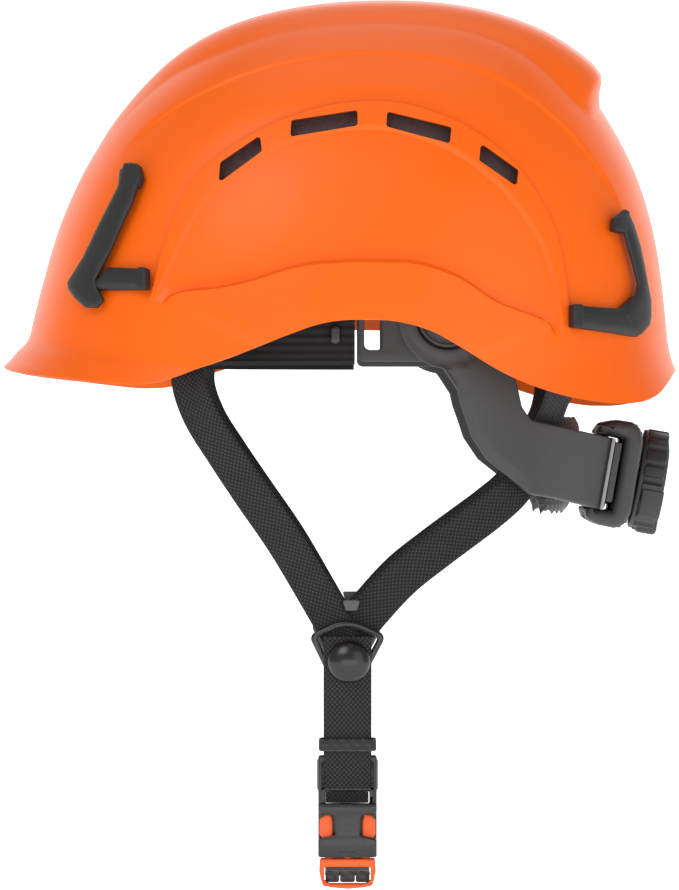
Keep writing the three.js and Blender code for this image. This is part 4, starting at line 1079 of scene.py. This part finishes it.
def puff(V, F, name, mat, node, res_mm, pressure, cap, body="helmet", uvs=None, slot="pad"):
    """Soft pad: remeshed, then inflated by a short cloth simulation, capped near its mould shape."""
    o = mk(name, V, F, mat, body=body, node=node, slot=slot)
    for p in o.data.polygons:
        p.use_smooth = True
    try:
        rm = o.modifiers.new("r", "REMESH")
        rm.mode, rm.voxel_size = "VOXEL", res_mm * MM
        rm.use_smooth_shade = True
        bpy.context.view_layer.objects.active = o
        deps = bpy.context.evaluated_depsgraph_get()
        me = bpy.data.meshes.new_from_object(o.evaluated_get(deps))
        o.modifiers.clear()
        old = o.data
        o.data = me
        bpy.data.meshes.remove(old)
        rest = np.array([v.co[:] for v in o.data.vertices])
        cl = o.modifiers.new("c", "CLOTH")
        s = cl.settings
        s.quality, s.mass, s.air_damping = 5, 0.15, 2.0
        s.tension_stiffness = s.compression_stiffness = 20
        s.shear_stiffness, s.bending_stiffness = 10, 2.0
        s.use_pressure, s.uniform_pressure_force = True, pressure
        s.effector_weights.gravity = 0
        cl.collision_settings.use_collision = False
        cl.collision_settings.use_self_collision = False
        cl.point_cache.frame_start, cl.point_cache.frame_end = 1, 20
        for fr in range(1, 21):
            bpy.context.scene.frame_set(fr)
        deps = bpy.context.evaluated_depsgraph_get()
        got = np.array([v.co[:] for v in o.evaluated_get(deps).data.vertices])
        o.modifiers.clear()
        bpy.context.scene.frame_set(1)
        if got.shape == rest.shape and np.isfinite(got).all():
            d = got - rest
            d -= d.mean(0)
            L = np.linalg.norm(d, axis=1, keepdims=True)
            k = np.minimum(1, cap * MM / np.maximum(L, 1e-9))
            for v, p in zip(o.data.vertices, rest + d * k):
                v.co = p
        sm = o.modifiers.new("m", "SMOOTH")
        sm.factor, sm.iterations = 0.5, 4
        sub = o.modifiers.new("s", "SUBSURF")
        sub.levels = sub.render_levels = 1
        deps = bpy.context.evaluated_depsgraph_get()
        me = bpy.data.meshes.new_from_object(o.evaluated_get(deps))
        o.modifiers.clear()
        old = o.data
        o.data = me
        bpy.data.meshes.remove(old)
        o.data.materials.clear()
        o.data.materials.append(mat)
        o.data.shade_smooth()
    except Exception as e:
        print("pad", name, e)
    return o


V, F = band(104, 256, 1.8, 29.7, -5.8, -0.7, 90, lambda v: -0.9 * (1 - sstep(0, 0.12, v) * (1 - sstep(0.88, 1, v))))
sweat = puff(V, F, "sweatband", KNIT, "sweatband_front", 2.4, 3.0, 0.5)

cp = round_poly([(-38, -26), (52, -26), (52, 26), (-38, 26)], 12, 1.5)


def crown_z(u, v, h):
    """Pad under the liner crown at plan position (u, v)."""
    rho = (1 - (min(0.999, abs(v) / HW)) ** POW) ** (1 / POW)
    z = 120.0
    lo_a, hi_a = 30.0, 150.0
    for _ in range(24):
        mid = (lo_a + hi_a) / 2
        x = CX - fR(round(mid, 4)) * rho * math.cos(mid * RAD)
        if x < u:
            lo_a = mid
        else:
            hi_a = mid
    a = round((lo_a + hi_a) / 2, 4)
    s = 1 if v >= 0 else -1
    p, n = s_base(a, rho, s), s_normal(a, rho, s)
    return (p + n * (-WALL - 6.0 - 14 - 3.7 + h)) * MM


V, F = plate(cp, crown_z, 4.8, 1.6, grid=4.0, nr=3)
crown = puff(V, F, "crown_pad_soft", KNIT, "crown_pad", 3.0, 3.0, 0.4)

# ------------------------------------------------------------------ side plates, studs, hubs
PVX, PVY, PVZ = 44.5, 80.9, 19.6
flat = lambda y: (lambda u, v, h: (u * MM, (y - h) * MM, v * MM))
sp_o = round_poly([(7.6, 1.3), (53, 1.3), (53, 35), (7.6, 35)], 2.6, 0.5)
sp_h = round_poly([(10.2, 6.1), (17.6, 6.1), (17.6, 29), (10.2, 29)], 2.4, 0.5)
cir = lambda cx, cz, r, n: [(cx + r * math.cos(2 * math.pi * k / n), cz + r * math.sin(2 * math.pi * k / n)) for k in range(n)]
both("side_plate", lambda: plate(sp_o, flat(-76.3), 2.3, 0.55, holes=[sp_h, cir(PVX, PVZ, 5, 32)], grid=0), GREY, "side_plate", slot="grey_plastic")
both("band_stud", lambda: plate(round_poly([(-3.8, 8.5), (0.4, 8.5), (0.4, 16.5), (-3.8, 16.5)], 2.05, 0.25), flat(-81.2), 1.9, 0.8, grid=0), BLACK_G, "band_stud", slot="black_plastic")
hub_prof = fillet_profile([(0, 0), (7.6, 0), (8.2, 0.5), (9, 0.55), (9, 1.3), (10.9, 1.25), (11.4, 0.9), (12.4, 0.95), (12.45, 5.8), (4.6, 5.9), (4.6, 9.4), (8, 9.4), (8, 11), (0, 11)], 0.3)
both("hub", lambda: lathe(hub_prof, (PVX, -PVY - 1.5 - 1.4, PVZ), (0, 1, 0), 72), GREY, "hub", body="hubs", slot="grey_plastic")

# ------------------------------------------------------------------ cradle arms
TILT = 10 * RAD
AX = np.array([math.cos(TILT), 0, -math.sin(TILT)])
AZ = np.array([math.sin(TILT), 0, math.cos(TILT)])
KO = np.array([125.1, 0, -46.9])


def loc(x, y, z):
    return (KO + AX * x + AZ * z + np.array([0, y, 0])) * MM


arm_cl = catmull([(20, -PVY), (44, -PVY), (58, -79.6), (70, -74.5), (81, -66.5), (91, -56.5), (99.3, -47), (106, -39.5), (111, -33), (113.9, -27), (114.76, -21), (114.76, -18)], 120)
arm_n = np.array([[-(arm_cl[min(i + 1, 120)] - arm_cl[max(i - 1, 0)])[1], (arm_cl[min(i + 1, 120)] - arm_cl[max(i - 1, 0)])[0]] for i in range(121)])
arm_n = -arm_n / np.linalg.norm(arm_n, axis=1)[:, None]
cl_len = np.concatenate([[0], np.cumsum(np.linalg.norm(np.diff(arm_cl, axis=0), axis=1))])


def arm_map(u, v, h):
    """u is the side-view position measured on the curve's own X; past the bend it is carried by arc length."""
    s = float(u)
    p = np.array([np.interp(s, cl_len, arm_cl[:, 0]), np.interp(s, cl_len, arm_cl[:, 1])])
    n = np.array([np.interp(s, cl_len, arm_n[:, 0]), np.interp(s, cl_len, arm_n[:, 1])])
    x = p[0] + n[0] * h
    y = p[1] + n[1] * h
    sh = sstep(62, 108, p[0]) * (v + 45.1) * math.tan(TILT)
    return ((x + sh) * MM, y * MM, v * MM)


def s_of(x, z):
    """Arc length on the plan curve whose sheared X is x at height z."""
    lo_, hi_ = 0.0, float(cl_len[-1])
    for _ in range(30):
        m = (lo_ + hi_) / 2
        px = float(np.interp(m, cl_len, arm_cl[:, 0]))
        if px + sstep(62, 108, px) * (z + 45.1) * math.tan(TILT) < x:
            lo_ = m
        else:
            hi_ = m
    return (lo_ + hi_) / 2


EYE_R = 21.4
eye = [(PVX + 1 + EYE_R * math.cos(d * RAD), PVZ + EYE_R * math.sin(d * RAD)) for d in np.arange(262, -19, -7)]
arm_side = eye + [(67.6, 8), (72.8, -8.6), (74.6, -17.3), (78.4, -22.6), (90, -25.2), (102.1, -27.6), (110.5, -29.4), (115.2, -30.4)]
arm_low = [(110.0, -60.2), (103.8, -58.7), (96, -56.8), (88.2, -55), (78.4, -53.3), (68.7, -45.4), (60.8, -39.2), (54.3, -29.7), (52, -22.7), (49.5, -15.7), (48.3, -10.4)]
arm_o = [(s_of(x, z), z) for x, z in arm_side + arm_low]
arm_o = round_poly(arm_o, 2.2, 0.9)
bore = cir(float(s_of(PVX, 0)), PVZ, 13.2, 64)
_arm_P = np.array(arm_o)


_bev_P = np.array([(s_of(x, z), z) for x, z in [(46.5, -4), (48.3, -10.4), (49.5, -15.7), (52, -22.7), (54.3, -29.7), (60.8, -39.2), (68.7, -45.4), (74, -49.6)]])


def arm_top(u, v):
    """Wide chamfer down the leading edge, and a raised ring round the pivot."""
    q = np.array([u, v])
    A, d = _bev_P[:-1], np.diff(_bev_P, axis=0)
    t = np.clip(((q - A) * d).sum(1) / (d ** 2).sum(1), 0, 1)
    dist = float(np.min(np.linalg.norm(A + d * t[:, None] - q, axis=1)))
    rr = math.hypot(u - bore_c[0], v - bore_c[1])
    eyew = 1 - sstep(20.8, 23.5, rr)
    bev = -1.25 * max(0.0, 1 - dist / 4.4) * (1 - eyew)
    ring = -0.7 * sstep(0.9, 1.5, abs(rr - 15.2)) * (1 if rr > 15.2 else 0) * (1 - sstep(20.2, 21.4, rr))
    return bev + ring


bore_c = (float(s_of(PVX, 0)), PVZ)


def rack(top):
    s = 1 if top else -1
    pitch = math.pi
    p = [(-32, 13 * s), (-32, 6.2 * s)]
    for k in range(-4, 4):
        c = (k + 0.5) * pitch
        p += [(c - 1.05, 6.2 * s), (c - 0.35, 4.15 * s), (c + 0.35, 4.15 * s), (c + 1.05, 6.2 * s)]
    p += [(15, 6.2 * s), (15, 13 * s)]
    return plate(p, lambda u, v, h: loc(-10.5 - h, u, v), 2.9, 0.25, grid=0, nr=1)


def arm_make(top):
    body = plate(arm_o, lambda u, v, h: arm_map(u, v, h), 3.0, 0.7, holes=[bore], grid=1.5, top=arm_top)
    link = plate(round_poly([(-34, 13.4), (-34, -13.4), (-27, -13.0 if not top else -5), (-24, -13 if not top else 4.6), (-24, -4.6 if not top else 13), (-27, 13.0 if top else 5)], 0.8, 0.6), lambda u, v, h: loc(-10.5 - h, u, v), 2.9, 0.3, grid=0, nr=1)
    return merge([body, link, rack(top)])


mk("arm_l", *arm_make(True), GREY, body="arm_left", node="arm_left", slot="grey_plastic", sharp=40)
mk("arm_r", *mirror(arm_make(False)), GREY, body="arm_right", node="arm_right", slot="grey_plastic", sharp=40)

# camera-facing light grey strip where each arm bends away towards the housing: painted highlight
for nm, mir in (("left", False), ("right", True)):
    st = plate(round_poly([(114.3, -30.0), (115.7, -30.4), (110.4, -60.2), (109.0, -59.9)], 0.35, 0.4), flat(-35.9), 1.2, 0.3, grid=0)
    mk("arm_bend_highlight_" + nm, *(mirror(st) if mir else st), ARM_BEND_HIGHLIGHT, body="arm_" + nm, sharp=40, slot="grey_plastic")

# ------------------------------------------------------------------ adjuster
def kplate(outline, x0, x1, r=0.6, holes=(), grid=0, nr=3, back_r=None):
    """Plate square to the knob's axis, its front towards the knob."""
    return plate(outline, lambda u, v, h: loc((x0 + x1) / 2 + h, u, v), x1 - x0, r, holes=holes, grid=grid, nr=nr, back_r=back_r)


hy = round_poly([(-33, -20), (33, -20), (33, 20), (-33, 20)], 8.5, 1.0)
lobe = round_poly([(-27, 17), (-24, 22.6), (-12, 24.6), (12, 24.6), (24, 22.6), (27, 17), (27, 5), (-27, 5)], 3, 1.0)
cheek_o = round_poly([(-20.2, 15.9), (-18.2, 20.6), (-13, 22.6), (-6, 22.8), (-2.2, 20.6), (-0.3, 15), (-0.3, -15), (-2.2, -20.2), (-6, -22.4), (-13, -22.2), (-18.2, -20.4), (-20.2, -15.9), (-8.2, -15.5), (-8.0, 0), (-8.2, 15.5)],
                     [0.8, 3, 3, 3, 3, 6, 6, 3, 3, 3, 3, 0.8, 0.8, 0, 0.8], 0.8)


def cheek(y0, y1):
    """Side of the housing that wraps round the arm's tail; its outline is the housing's own side view."""
    return plate(cheek_o, lambda u, v, h: loc(u, (y0 + y1) / 2 - h, v), y1 - y0, 3.4, grid=0, nr=5, back_r=0.4)


house = merge([
    kplate(round_poly([(-14, -19.6), (14, -19.6), (14, 19.6), (-14, 19.6)], 1, 1.0), -5.2, -0.3, 0.5, holes=[cir(0, 0, 6.6, 48)]),
    kplate(round_poly([(-14, 15.6), (14, 15.6), (14, 22.4), (-14, 22.4)], 0.8, 1.0), -14.7, -2.5, 1.0),
    kplate(round_poly([(-14, -22.0), (14, -22.0), (14, -15.6), (-14, -15.6)], 0.8, 1.0), -14.7, -2.5, 1.0),
    kplate(cir(0, 0, 11, 64), -0.3, 0.35, 0.25, holes=[cir(0, 0, 6.6, 48)]),
    cheek(-33, -12), mirror(cheek(-33, -12)),
])
mk("housing", *house, GREY, body="adjuster", node="adjuster_housing", slot="grey_plastic", sharp=40)


def cover_map(u, v, h):
    bow = 4.2 * (1 - (abs(u) / 33) ** 2.2)
    return loc(-15.1 - (h + 0.9 if h > 0 else 0) * 0 - (bow if h > 0 else 0) + (-h if h > 0 else 0) + (0 if h > 0 else 0), u, v)


cov_holes = [cir(y, z, 2.3, 24) for y, z in ((-18, 17.2), (18, 17.2), (-18, -17.2), (18, -17.2))]
co = round_poly([(-32.5, -19.6), (32.5, -19.6), (32.5, 19.6), (-32.5, 19.6)], 8.2, 1.0)
mk("cover", *plate(co, cover_map, 1.0, 0.25, holes=cov_holes, grid=3.0, nr=2), GREY_K, body="adjuster", node="adjuster_cover", slot="grey_plastic", sharp=40)
for i, (y, z) in enumerate(((-18, 17.2), (18, 17.2), (-18, -17.2), (18, -17.2))):
    head = fillet_profile([(0, -18.2), (1.95, -18.0), (2.0, -17.4), (0.8, -17.3), (0.8, -9), (0, -9)], 0.15, 2)
    o_ = loc(0, y, z) / MM
    mk("cover_screw_head_%d" % (i + 1), *lathe(head, tuple(o_), tuple(AX), 28), STEEL, body="adjuster", node="cover_screw_%d" % (i + 1), slot="steel")

KR, KD = 21.6, 11.8


def knob_ring(r0, amp, n=432):
    out = []
    for k in range(n):
        t = 2 * math.pi * k / n
        g = max(0.0, math.cos(18 * t)) ** 0.45
        r = r0 + 1.1 - amp * g
        out.append((r * math.cos(t), r * math.sin(t)))
    return out


def knob_scallop(u, v, h):
    return loc(7.1 + h, u, v)


thumb = round_poly([(-7.5, -22.5), (7.5, -22.5), (7.5, -8), (-7.5, -8)], 3, 0.6)
knob = merge([
    plate(knob_ring(KR - 1.1, 1.5), knob_scallop, 8.8, 0.6, holes=[cir(0, 0, 3.6, 40)], grid=0, nr=3, back_r=0.5),
    kplate(cir(0, 0, KR - 0.5, 120), 1.0, 3.0, 0.5, holes=[cir(0, 0, 13.2, 64)]),
    kplate(cir(0, 0, KR - 4.4, 96), 11.4, 12.2, 0.5, holes=[cir(0, 0, 3.6, 40)]),
    kplate(cir(0, 0, 15.2, 96), 12.0, 12.7, 0.4, holes=[cir(0, 0, 3.6, 40)]),
    kplate(thumb, 4.0, 12.9, 1.6),
    kplate(round_poly([(22.2 * math.cos(q * RAD), 22.2 * math.sin(q * RAD)) for q in range(190, 229, 4)] + [(13 * math.cos(q * RAD), 13 * math.sin(q * RAD)) for q in (226, 209, 192)], 0.8, 0.6), 3.2, 12.7, 0.9),
] + [kplate(round_poly([(-5.4, z - 0.45), (5.4, z - 0.45), (5.4, z + 0.45), (-5.4, z + 0.45)], 0.4, 0.3), 12.6, 13.05, 0.2) for z in (-20, -17.5, -15, -12.5)])
mk("knob_body", *knob, GREY_K, body="knob", node="adjuster_knob", slot="grey_plastic", sharp=40)

gear = []
for k in range(10):
    c = math.pi / 2 + k * 2 * math.pi / 10
    for d, r in ((-0.24, 3.75), (-0.2, 4.0), (-0.085, 5.8), (0, 5.85), (0.085, 5.8), (0.2, 4.0), (0.24, 3.75)):
        gear.append((r * math.cos(c + d), r * math.sin(c + d)))
mk("pinion", *merge([kplate(gear, -14.1, -7, 0.15), kplate(cir(0, 0, 6.1, 64), -7.05, 0.5, 0.2), kplate(cir(0, 0, 4.0, 48), 0.45, 7.9, 0.3)]), BLACK, body="knob", node="pinion_shaft", slot="black_plastic")
mk("knob_screw_head", *merge([lathe(fillet_profile([(0, 3.4), (0.85, 3.4), (0.85, 10.8), (3.2, 10.8), (3.15, 11.6), (1.6, 12.0), (1.5, 11.3), (0, 11.3)], 0.2, 2), tuple(KO), tuple(AX), 36)]), STEEL, body="knob", node="knob_screw", slot="steel")
ringp = [((12.4 - (0.7 if i % 2 else 0)) * math.cos(i * math.pi / 20), (12.4 - (0.7 if i % 2 else 0)) * math.sin(i * math.pi / 20)) for i in range(40)]
mk("detent_teeth", *kplate(ringp, 1.1, 3.1, 0.15, holes=[cir(0, 0, 8.6, 48)]), STEEL, body="knob", node="detent_ring", slot="steel")
mk("pawl", *merge([kplate([(-1.2, 6.9), (1.2, 6.9), (1.2, 8.2), (-1.2, 8.2)], 0.3, 3.0, 0.2), kplate([(-4, 6.9), (4, 6.9), (4, 8.2), (-4, 8.2)], 0.3, 0.9, 0.15)]), STEEL, body="adjuster", node="detent_pawl", slot="steel")

# ------------------------------------------------------------------ nape pad
nap = catmull([(p[0] - 6.5, p[1] * 0.93) for p in [(84, -56), (93, -46), (99.5, -34), (102.5, -18), (103.2, 0), (102.5, 18), (99.5, 34), (93, 46), (84, 56)]], 80)
nl = np.concatenate([[0], np.cumsum(np.linalg.norm(np.diff(nap, axis=0), axis=1))])
nn_ = np.array([[(nap[min(i + 1, 80)] - nap[max(i - 1, 0)])[1], -(nap[min(i + 1, 80)] - nap[max(i - 1, 0)])[0]] for i in range(81)])
nn_ /= np.linalg.norm(nn_, axis=1)[:, None]


def nape_map(u, v, h):
    x, y = float(np.interp(u, nl, nap[:, 0])), float(np.interp(u, nl, nap[:, 1]))
    a, b = float(np.interp(u, nl, nn_[:, 0])), float(np.interp(u, nl, nn_[:, 1]))
    w = 1 - sstep(44, 53, abs(y))
    z = -44 - 19 * w + v * (10 + 34 * w)
    quilt = -0.9 * math.exp(-((v - 0.5) / 0.035) ** 2) * w if h > 0 else 0
    return ((x + a * (h + quilt) + (z + 45.1) * math.tan(TILT) * 0.7) * MM, (y + b * (h + quilt)) * MM, z * MM)


Ln = float(nl[-1])
VV, FF = [], []
nu_, sec = 72, []
for k in range(17):
    v = k / 16
    sec.append((v, 2.6 * (1 - (abs(2 * v - 1)) ** 8)))
back = [(v, -h) for v, h in reversed(sec[1:-1])]
sec = sec + back
for i in range(nu_ + 1):
    u = Ln * (0.008 + 0.984 * i / nu_)
    for v, h in sec:
        VV.append(nape_map(u, v, h))
m_ = len(sec)
for i in range(nu_):
    for k in range(m_):
        k2 = (k + 1) % m_
        FF.append((i * m_ + k, i * m_ + k2, (i + 1) * m_ + k2, (i + 1) * m_ + k))
FF.append(tuple(range(m_)))
FF.append(tuple(reversed(range(nu_ * m_, nu_ * m_ + m_))))
nape = puff(VV, FF, "nape_cushion", KNIT, "nape_pad", 2.6, 3.0, 0.45, body="adjuster")

# ------------------------------------------------------------------ strap anchors
def anchor(x, y, z, yaw):
    c, s = math.cos(yaw), math.sin(yaw)
    o = round_poly([(-11, -6), (11, -6), (11, 7), (-11, 7)], 2.2, 0.5)
    hole = round_poly([(-8.6, -2.2), (8.6, -2.2), (8.6, 1.2), (-8.6, 1.2)], 0.5, 0.4)
    return plate(o, lambda u, v, h: ((x + c * u - s * (1.3 + h) * -1 * -1) * MM, (y + s * u + c * (1.3 + h)) * MM, (z + v) * MM), 2.5, 0.6, holes=[hole], grid=0)


both("anchor_front", lambda: anchor(-60, -88.2, 14, -24 * RAD), BLACK, "anchor_front", slot="black_plastic")
both("anchor_rear", lambda: anchor(92, -79.5, 4, 32 * RAD), BLACK, "anchor_rear", slot="black_plastic")

# ------------------------------------------------------------------ webbing
SX = 3.3
FS = ([(-60, -83.0, 19), (-61.2, -83.8, 6), (-62, -86.2, -6), (-57.5, -87, -20), (-47, -85, -37), (-36.6, -82.3, -52.5), (-22.5, -77, -73), (-9.5, -69.15, -95), (-1.5, -69.1, -109), (1.5, -69.1, -114.5)],
      [(-0.4, -0.92, 0), (-0.4, -0.92, 0), (-0.38, -0.92, 0), (-0.35, -0.94, 0), (-0.3, -0.95, 0), (-0.2, -0.98, 0), (-0.1, -1, 0), (0, -1, 0), (0, -1, 0), (0, -1, 0)])
RS = ([(91, -75, 10), (92, -74, 0), (91.3, -68, -11), (87.5, -59, -20.5), (84.4, -56.4, -30), (79.5, -58.8, -41), (73.5, -63.5, -50.5), (65, -67.2, -58.3), (40, -70.3, -77), (26, -69.6, -88.2), (12.5, -67.2, -102.8), (6, -67.2, -110.8), (3.2, -67.2, -114.2)],
      [(0.5, -0.86, 0), (0.5, -0.86, 0), (0.5, -0.86, 0), (0.62, -0.78, 0), (0.68, -0.73, 0), (0.6, -0.8, 0), (0.5, -0.86, 0), (0.3, -0.95, 0), (0, -1, 0), (0, -1, 0), (0, -1, 0), (0, -1, 0), (0, -1, 0)])


def web_piece(name, data, w, n, node, flip=False, body="helmet"):
    V, F, UV = tape(data[0], data[1], w, 1.5, n)
    if flip:
        V = [(x, -y, z) for x, y, z in V]
        F = [tuple(reversed(f)) for f in F]
    return mk(name, V, F, WEB, node=node, slot="webbing", uvs=UV, sharp=60, body=body)


for s, fl in (("left", False), ("right", True)):
    web_piece("front_web_" + s, FS, 15.3, 150, "strap_front_" + s, fl)
    web_piece("rear_web_" + s, RS, 15.3, 190, "strap_rear_" + s, fl)
CL = ([(SX, -73.95, -112), (SX, -73.95, -126), (SX, -73.1, -131), (SX, -68.6, -160), (SX, -67.3, -166.5), (SX, -66.6, -171.5), (SX, -66.3, -175)], [(0, -1, 0)] * 7)
CR = ([(SX, 73.95, -112), (SX, 73.95, -124), (SX, 73, -145), (SX, 70, -168), (SX, 62.5, -190), (SX, 47, -204.5), (SX, 22, -211.5), (SX, 0, -213), (SX, -22, -213), (SX, -42, -212), (SX, -56, -211), (SX, -62.2, -210.4)],
      [(0, 1, 0)] * 4 + [(0, 0.9, -0.3), (0, 0.5, -0.8), (0, 0.1, -1)] + [(0, 0, -1)] * 5)
web_piece("chin_web_left", CL, 19.8, 90, "chin_strap_left")
chin_r = web_piece("chin_web_right", CR, 18.8, 190, "chin_strap_right", body=None)
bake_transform(chin_r)

slit = round_poly([(1.2, -97.0), (8.6, -97.0), (7.2, -101.4), (2.6, -101.4)], 0.8, 0.3)
both("v_keeper", lambda: plate(slit, flat(-70.6), 1.4, 0.5, grid=0), GREY_L2, None, slot="grey_plastic")

# ------------------------------------------------------------------ Y adjusters
y_out = round_poly([(-12.8, -111.4), (3.1, -103.8), (19.4, -111.4), (12.6, -124.4), (-6.4, -124.6)], [3.0, 16.0, 3.0, 1.2, 1.2], 0.4)
y_in = round_poly([(-9.3, -112.2), (3.1, -106.9), (15.9, -112.2), (10.9, -121.9), (-4.8, -122)], [1.2, 14.0, 1.2, 1.0, 1.0], 0.4)
both("y_ring", lambda: plate(y_out, flat(-71.55), 2.6, 0.95, holes=[y_in], grid=0), BLACK_G, "y_buckle", slot="black_plastic")
cap_prof = [(0, 0.0)] + [(8.8 * math.sin(q), 4.9 * (1 - math.cos(q))) for q in (math.pi / 2 * k / 12 for k in range(1, 13))] + [(8.8, 5.4), (0, 5.4)]
both("dome", lambda: lathe(cap_prof, (3.9, -80.4, -122.3), (0, 1, 0), 64), BLACK_G, "y_cap", slot="black_plastic")

# ------------------------------------------------------------------ strap keeper and buckle
KD3 = np.array([0, -0.1535, 0.9881])
KE = round_poly([(-11.9, -2.6), (11.9, -2.6), (11.9, 2.6), (-11.9, 2.6)], 1.2, 0.4)
KH = round_poly([(-10.9, -1.6), (10.9, -1.6), (10.9, 1.6), (-10.9, 1.6)], 0.5, 0.4)
mk("keeper_loop", *plate(KE, lambda u, v, h: ((SX + u) * MM, (-68.76 + 0.9881 * v + KD3[1] * (2.5 + h)) * MM, (-159 + 0.1535 * v + KD3[2] * (2.5 + h)) * MM), 4.9, 0.7, holes=[KH], grid=0), KNIT, body="keeper", node="strap_keeper", slot="black_plastic")

BY = -66.0
bp = lambda pts: [(x + SX, z) for x, z in pts]
rr = lambda x0, x1, z0, z1, r: round_poly(bp([(x0, z0), (x1, z0), (x1, z1), (x0, z1)]), r, 0.4)


def yslab(outline, y0, y1, r, holes=(), nr=3):
    return plate(outline, lambda u, v, h: (u * MM, ((y0 + y1) / 2 - h) * MM, v * MM), y1 - y0, r, holes=holes, grid=0, nr=nr)


win = [rr(-9.9, 9.9, -181.4, -165.2, 1.0)]
fem = merge([
    yslab(round_poly(bp([(-12.1, -161.2), (-12.1, -183.4), (12.1, -183.4), (12.1, -161.2)]), 1.0, 0.4), BY - 2.2, BY + 4.2, 0.8, holes=[rr(-10.5, 10.5, -181.0, -163.7, 0.8)]),
    yslab(rr(-12.1, 12.1, -165.0, -161.2, 0.9), BY - 0.1, BY + 4.2, 0.7),
    yslab(rr(-11.6, 11.6, -173.3, -170.3, 0.8), BY + 1.25, BY + 3.55, 0.7),
    yslab(rr(-12.6, 12.6, -176.4, -162.2, 1.6), BY + 1.4, BY + 4.2, 0.8),
    yslab(rr(-12.1, -9.0, -183.0, -174.0, 0.4), BY + 1.4, BY + 4.2, 0.6),
    yslab(rr(9.0, 12.1, -183.0, -174.0, 0.4), BY + 1.4, BY + 4.2, 0.6),
    # waisted front shield over the latch
    yslab(round_poly(bp([(-12.1, -181.0), (12.1, -181.0), (12.1, -184.6), (5.4, -186.2), (5.2, -194.0), (12.1, -195.6), (12.1, -203.2), (-12.1, -203.2), (-12.1, -195.6), (-5.2, -194.0), (-5.4, -186.2), (-12.1, -184.6)]), 1.0, 0.4), BY - 4.3, BY - 2.7, 0.7),
    yslab(round_poly(bp([(-12.1, -181.0), (12.1, -181.0), (12.1, -203.2), (-12.1, -203.2)]), 1.0, 0.4), BY + 2.7, BY + 4.3, 0.6),
    yslab(rr(-12.1, -11.05, -203.0, -195.8, 0.4), BY - 3.0, BY + 3.0, 0.4),
    yslab(rr(11.05, 12.1, -203.0, -195.8, 0.4), BY - 3.0, BY + 3.0, 0.4),
    yslab(rr(-12.1, 12.1, -183.8, -180.9, 0.6), BY - 4.0, BY + 4.0, 0.6),
    yslab(rr(-3.8, 3.8, -201.8, -200.9, 0.4), BY - 4.55, BY - 4.1, 0.2),
])
mk("buckle_socket", *fem, BLACK_G, node="buckle_female", slot="black_plastic", sharp=40)
mo = round_poly(bp([(-11.4, -203.8), (11.4, -203.8), (11.7, -209), (10.8, -213.2), (7.5, -215.6), (0, -216.3), (-7.5, -215.6), (-10.8, -213.2), (-11.7, -209)]), 0.8, 0.4)
mh = rr(-9.6, 9.6, -214.2, -207.2, 0.9)
male = merge([yslab(mo, BY - 3.6, BY + 3.6, 1.0, holes=[mh]), yslab(rr(-1.6, 1.6, -204.4, -186, 0.6), BY - 1.8, BY + 1.8, 0.5), yslab(rr(-10.6, 10.6, -205.0, -203.9, 0.4), BY - 2.0, BY + 2.0, 0.3)])
def loop_seg(x0, x1):
    V, F = box_r(SX + x0, SX + x1, BY - 1.3, BY + 2.6, -213.7, -209.0, 0.8)
    return V, F


lv, lf = merge([loop_seg(-9.1, -3.4), loop_seg(-3.1, 3.1), loop_seg(3.4, 9.1)])
mk("stitched_loop", lv, lf, KNIT_L, body="buckle_male", slot="webbing", sharp=50)
mk("buckle_insert", *male, ORANGE_B, body="buckle_male", node="buckle_male", slot="buckle_orange", sharp=40)
PR = [(6.2, -205.6), (9.2, -205.6), (9.6, -199), (10.4, -195.5), (11.6, -193.6), (11.5, -187.8), (9, -185.6), (6.6, -185.6), (6, -189)]
for nme, s in (("left", -1), ("right", 1)):
    mk("prong_arm_" + nme, *yslab(round_poly(bp([(x * s, z) for x, z in PR]), 0.9, 0.3), BY - 1.9, BY + 1.9, 0.7), ORANGE_B, body="prong_" + nme, node="prong_" + nme, slot="buckle_orange", sharp=40)

# ------------------------------------------------------------------ floor with a swept-up back
prof_f = [(-8.0, -0.236), (4.2, -0.236)] + [(4.2 + 0.8 * math.sin(q), -0.236 + 0.8 * (1 - math.cos(q))) for q in (math.pi / 2 * k / 16 for k in range(1, 17))] + [(5.0, 6.0)]
fv = [(x, y, z) for y, z in prof_f for x in (-8.0, 8.0)]
ff_ = [(2 * k, 2 * k + 1, 2 * k + 3, 2 * k + 2) for k in range(len(prof_f) - 1)]
me = bpy.data.meshes.new("floor")
me.from_pydata(fv, [], ff_)
me.shade_smooth()
flo = bpy.data.objects.new("floor", me)
bpy.context.scene.collection.objects.link(flo)
me.materials.append(floor_mat())
